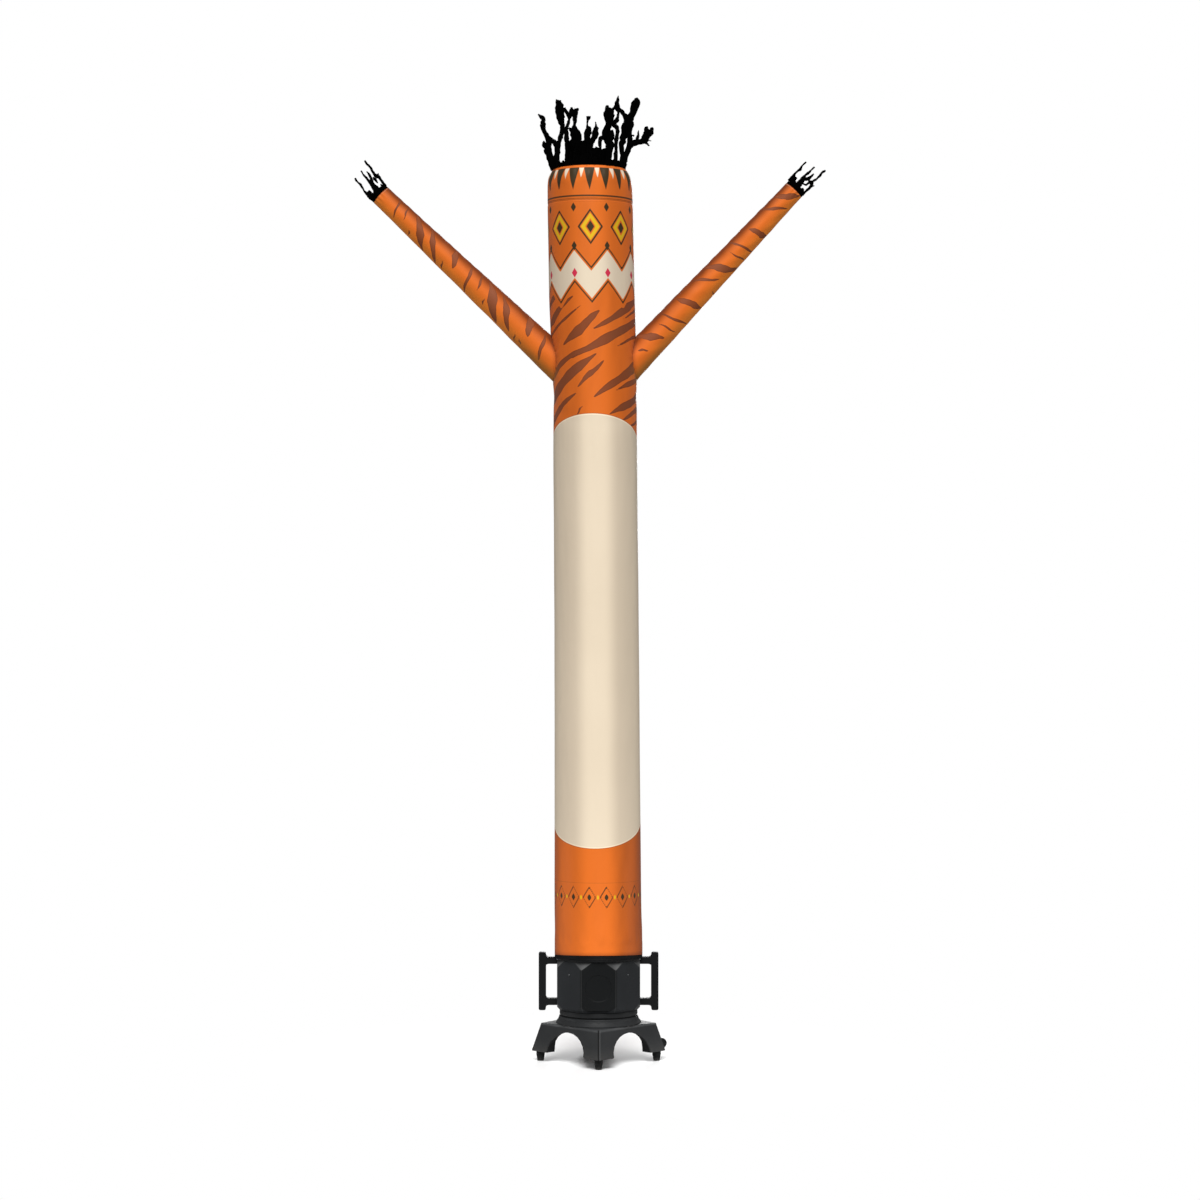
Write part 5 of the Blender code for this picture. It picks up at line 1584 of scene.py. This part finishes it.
def make_drum():
    """The fan drum: its faceted wall with a shallow round seat on the front,
    rounded rims and the bore for the air."""
    low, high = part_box("fan_drum")
    low, high, rim = low.z, high.z + DRUM["raised"], 0.0016
    # Columns are closer at the corners and on the front, and rows on the slopes.
    spread = np.linspace(-math.pi, math.pi, 7201)
    near_corner = np.abs(wrap(spread + math.pi / 8, math.pi / 4))
    dense = 1 + 6 * bell(near_corner, 0, 0.03) + 1.2 * bell(near_corner, 0.17, 0.05)
    dense = dense + 2.2 * (np.abs(spread) < 0.36)
    run = np.cumsum(dense)
    turns = np.interp(np.linspace(run[0], run[-1], 420, endpoint=False), run, spread)
    arc = np.linspace(0, math.pi / 2, 5)
    foot = low + DRUM["foot"]
    sloped, upper = foot + DRUM["low_chamfer"][0], high - DRUM["chamfer"][0]
    wall = even_rows((foot, sloped, 10), (sloped, upper, 84), (upper, high - rim, 14))[:-1]
    z = np.concatenate([[low], low + rim * (1 - np.cos(arc[1:])) * 0.6, wall, high - rim * (1 - np.sin(arc))])
    inset = np.concatenate([[rim], rim * (1 - np.sin(arc[1:])), 0 * wall, rim * (1 - np.cos(arc))])
    turn, z = np.meshgrid(turns, z)
    out = drum_reach(turn, z, low, high) - inset[:, None]
    x, y = out * np.sin(turn), -out * np.cos(turn)
    # how far inside the round seat's edge a point lies
    wide, deep = DRUM["seat"]
    seat = wide - np.hypot(x, z - (low + high - DRUM["raised"]) / 2 - 0.002)
    y = y + deep * fade(seat, -0.0006, 0.0010) * (y < -0.14)
    shell = np.stack([AXIS + x, y, z], -1)
    bore = [BORE * outward(turns) + (AXIS, 0, level) for level in (low, (low + high) / 2, high)]
    rings = [bore[0], *shell, *bore[:0:-1]]
    points, faces = ring_block(rings)
    # Painted highlight: the plastic is paler on the cut corners, which face up to the light, and along the
    # corner edges.
    to_corner = np.abs(wrap(turn + math.pi / 8, math.pi / 4))
    above = z - (high - DRUM["chamfer"][0])
    slope = DRUM["chamfer"][1] / DRUM["chamfer"][0] / math.tan(math.pi / 8)
    cut = fade(above * slope - out * to_corner, -0.0012, 0.0004)
    # and a little more so on the cut corners' right halves and towards their points
    tilt = 0.75 + 0.25 * np.clip(wrap(turn + math.pi / 8, math.pi / 4) / 0.07, -1, 1)
    highlit_corner = cut * fade(above, 0, 0.002) * tilt * (1 - 0.45 * fade(above, 0.006, 0.024))
    worn = np.maximum(0.85 * highlit_corner, 0.20 * bell(out * to_corner, 0, 0.0011))
    plain = np.zeros((1, len(turns)))
    worn = np.concatenate([plain, worn, plain, plain])
    drum = put_mesh("drum_shell", points, [faces], DRUM_PLASTIC, marks={"worn": worn.ravel()}, sharp=30)
    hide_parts("fan_drum")


FOOT_RADIUS = 0.0148
SCREW_AT = 0.76                 # share of the drum's height
MERGED = 2e-5                   # points nearer than this become one
SEATED_BY = 0.008               # how far a grip's ends go on into the drum


def softened_copy(node, name, material, width, edges=None, seated=0.0):
    """A CAD node's own shape, with its loose triangles merged and its hard
    edges rounded, the rounded edges in a paler plastic, a painted highlight,
    where edges has one. Points nearer than seated to the axis, to the side, go
    further in, to close the joint."""
    mesh = bpy.data.meshes.new(name)
    bm = bmesh.new()
    bm.from_mesh(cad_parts[node].data)
    bmesh.ops.remove_doubles(bm, verts=bm.verts, dist=MERGED)
    bmesh.ops.dissolve_limit(bm, angle_limit=math.radians(0.8), verts=bm.verts, edges=bm.edges)
    bmesh.ops.recalc_face_normals(bm, faces=bm.faces)
    for vert in bm.verts:
        if abs(vert.co.x - AXIS) < seated:
            vert.co.x -= math.copysign(SEATED_BY, vert.co.x - AXIS)
    bm.to_mesh(mesh)
    bm.free()
    mesh.shade_smooth()
    mesh.set_sharp_from_angle(angle=math.radians(50))
    mesh.materials.clear()
    mesh.materials.append(material)
    if edges:
        mesh.materials.append(edges)
    made = bpy.data.objects.new(name, mesh)
    bpy.context.scene.collection.objects.link(made)
    bevel = made.modifiers.new("Soft edges", "BEVEL")
    bevel.width = width
    bevel.segments = 3
    bevel.limit_method = "ANGLE"
    bevel.angle_limit = math.radians(32)
    bevel.use_clamp_overlap = True
    bevel.material = 1 if edges else -1
    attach(made, "root")
    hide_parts(node)


def make_feet_and_screws():
    """Turned rubber feet with a rounded tread, and pan-headed screws."""
    wide = FOOT_RADIUS
    for side in ("front", "right", "back", "left"):
        low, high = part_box(f"foot_{side}")
        tall = high.z - low.z
        x, y = (low.x + high.x) / 2, (low.y + high.y) / 2
        profile = [
            (0, 0),
            (wide - 0.0052, 0),
            (wide - 0.0030, 0.0015),
            (wide - 0.0018, tall * 0.40),
            (wide - 0.0004, tall * 0.55),
            (wide, tall * 0.62),
            (wide, high.z),
            (0, high.z),
        ]
        rounded = round_corners(profile, 0.0016, 4, closed=False)
        made = lathe(f"rubber_foot_{side}", rounded, 48, RUBBER, (x, y), closed=False)
        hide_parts(f"foot_{side}")
    low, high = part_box("fan_drum")
    flat = (high.y - low.y) / 2
    up = low.z + (high.z - low.z) * SCREW_AT
    head = [(0, -0.0006), (0.0036, -0.0006), (0.0036, 0.0004), (0.0030, 0.0013), (0.0014, 0.0018)]
    head += [(0.0012, 0.0009), (0, 0.0009)]
    for name, bearing in zip("abcd", (45, 135, -135, -45)):
        t = math.radians(bearing)
        seat = Vector((AXIS + flat * math.sin(t), -flat * math.cos(t), up))
        aim = Vector((math.sin(t), -math.cos(t), 0)).to_track_quat("Z", "Y").to_matrix().to_4x4()
        lathe(f"drum_screw_{name}", head, 28, SCREW, closed=False, place=Matrix.Translation(seat) @ aim)


# ---- light, floor and finish ----------------------------------------------------
def area_light(name, location, target, size, power):
    """A soft white light that faces its target."""
    data = bpy.data.lights.new(name, "AREA")
    data.shape = "RECTANGLE"
    data.size, data.size_y = size
    data.energy = power
    light = bpy.data.objects.new(name, data)
    light.location = location
    light.rotation_euler = (Vector(target) - Vector(location)).to_track_quat("-Z", "Y").to_euler()
    bpy.context.scene.collection.objects.link(light)


def make_studio():
    """A pale floor that fades into a white room, a soft key from the front and
    weak fills."""
    scene = bpy.context.scene
    scene.view_settings.view_transform = "Standard"
    # The room is white to the camera and lights things by a quarter as much.
    world = bpy.data.worlds.new("white_room")
    scene.world = world
    world.use_nodes = True
    tree = world.node_tree
    seen = tree.nodes.new("ShaderNodeLightPath").outputs["Is Camera Ray"]
    strength = tree.nodes.new("ShaderNodeMapRange")
    tree.links.new(seen, strength.inputs["Value"])
    strength.inputs["To Min"].default_value = 0.24
    strength.inputs["To Max"].default_value = 1.0
    background = tree.nodes["Background"]
    background.inputs["Color"].default_value = (1, 1, 1, 1)
    tree.links.new(strength.outputs["Result"], background.inputs["Strength"])

    finish = Finish("pale_floor")
    soft = finish.noise(3.0, 2.0)
    colour = finish.mix(finish.step(soft, 0.3, 0.7), (0.93, 0.93, 0.93), (0.96, 0.96, 0.96))
    finish.set(Base_Color=colour, Roughness=0.7, Specular_IOR_Level=0.2)
    clear = finish.add("ShaderNodeBsdfTransparent")
    blend = finish.add("ShaderNodeMixShader")
    away = finish.add("ShaderNodeVectorMath", operation="LENGTH")
    finish.feed(away.inputs[0], finish.where)
    finish.feed(blend.inputs[0], finish.step(away.outputs["Value"], 0.35, 1.2))
    finish.feed(blend.inputs[1], finish.shader.outputs[0])
    finish.feed(blend.inputs[2], clear.outputs[0])
    out = finish.tree.nodes["Material Output"]
    finish.feed(out.inputs["Surface"], blend.outputs[0])
    around = np.linspace(0, 2 * math.pi, 96, endpoint=False)
    reach = np.array([0.02, 0.5, 1.0, 2.0, 4.0, 6.0])[:, None]
    points = np.stack([reach * np.cos(around), reach * np.sin(around), 0 * reach * around - 0.0004], -1)
    faces = [grid_faces(len(reach), len(around))[:, ::-1], np.arange(len(around))[None, :]]
    floor = put_mesh("floor", points, faces, finish.material)

    area_light("key", (-0.3, -7.2, 4.9), (0, 0, 1.6), (1.6, 2.2), 62)
    area_light("low_fill", (0.2, -7.5, 0.3), (0, 0, 2.3), (1.8, 1.0), 56)
    area_light("back_fill", (0.6, 7.4, 3.2), (0, 0, 1.6), (2.4, 2.4), 300)
    for name, side in (("left_strip", -1), ("right_strip", 1)):
        area_light(name, (2.4 * side, -0.2, 0.4), (0, 0, 0.25), (1.0, 1.0), 6)
    overhead = bpy.data.lights.new("overhead", "SUN")
    overhead.energy = 3.15
    overhead.angle = math.radians(34)
    sky = bpy.data.objects.new("overhead", overhead)
    sky.rotation_euler = (math.radians(35), 0, 0)
    scene.collection.objects.link(sky)


tube = make_tube()
left_sleeve, left_length = make_sleeve("left", ARMS["left"], LEFT_STRIPES)
right_sleeve, right_length = make_sleeve("right", ARMS["right"], RIGHT_STRIPES)
cap = make_cap()
hair = make_hair()
left_hand = make_hand("left", ARMS["left"])
right_hand = make_hand("right", ARMS["right"])

make_rings()
make_drum()
# Each is a node, its piece, its material and the width of its rounded edges.
softened_copy("blower_base", "arched_base", BASE_PLASTIC, 0.0022, edges=HIGHLIT_EDGE_PLASTIC)
softened_copy("handle_left", "grip_left", TRIM_PLASTIC, 0.0016, seated=0.156)
softened_copy("handle_right", "grip_right", TRIM_PLASTIC, 0.0016, seated=0.156)
softened_copy("cord_gland", "cord_bush", RUBBER, 0.0012)
make_feet_and_screws()

make_studio()
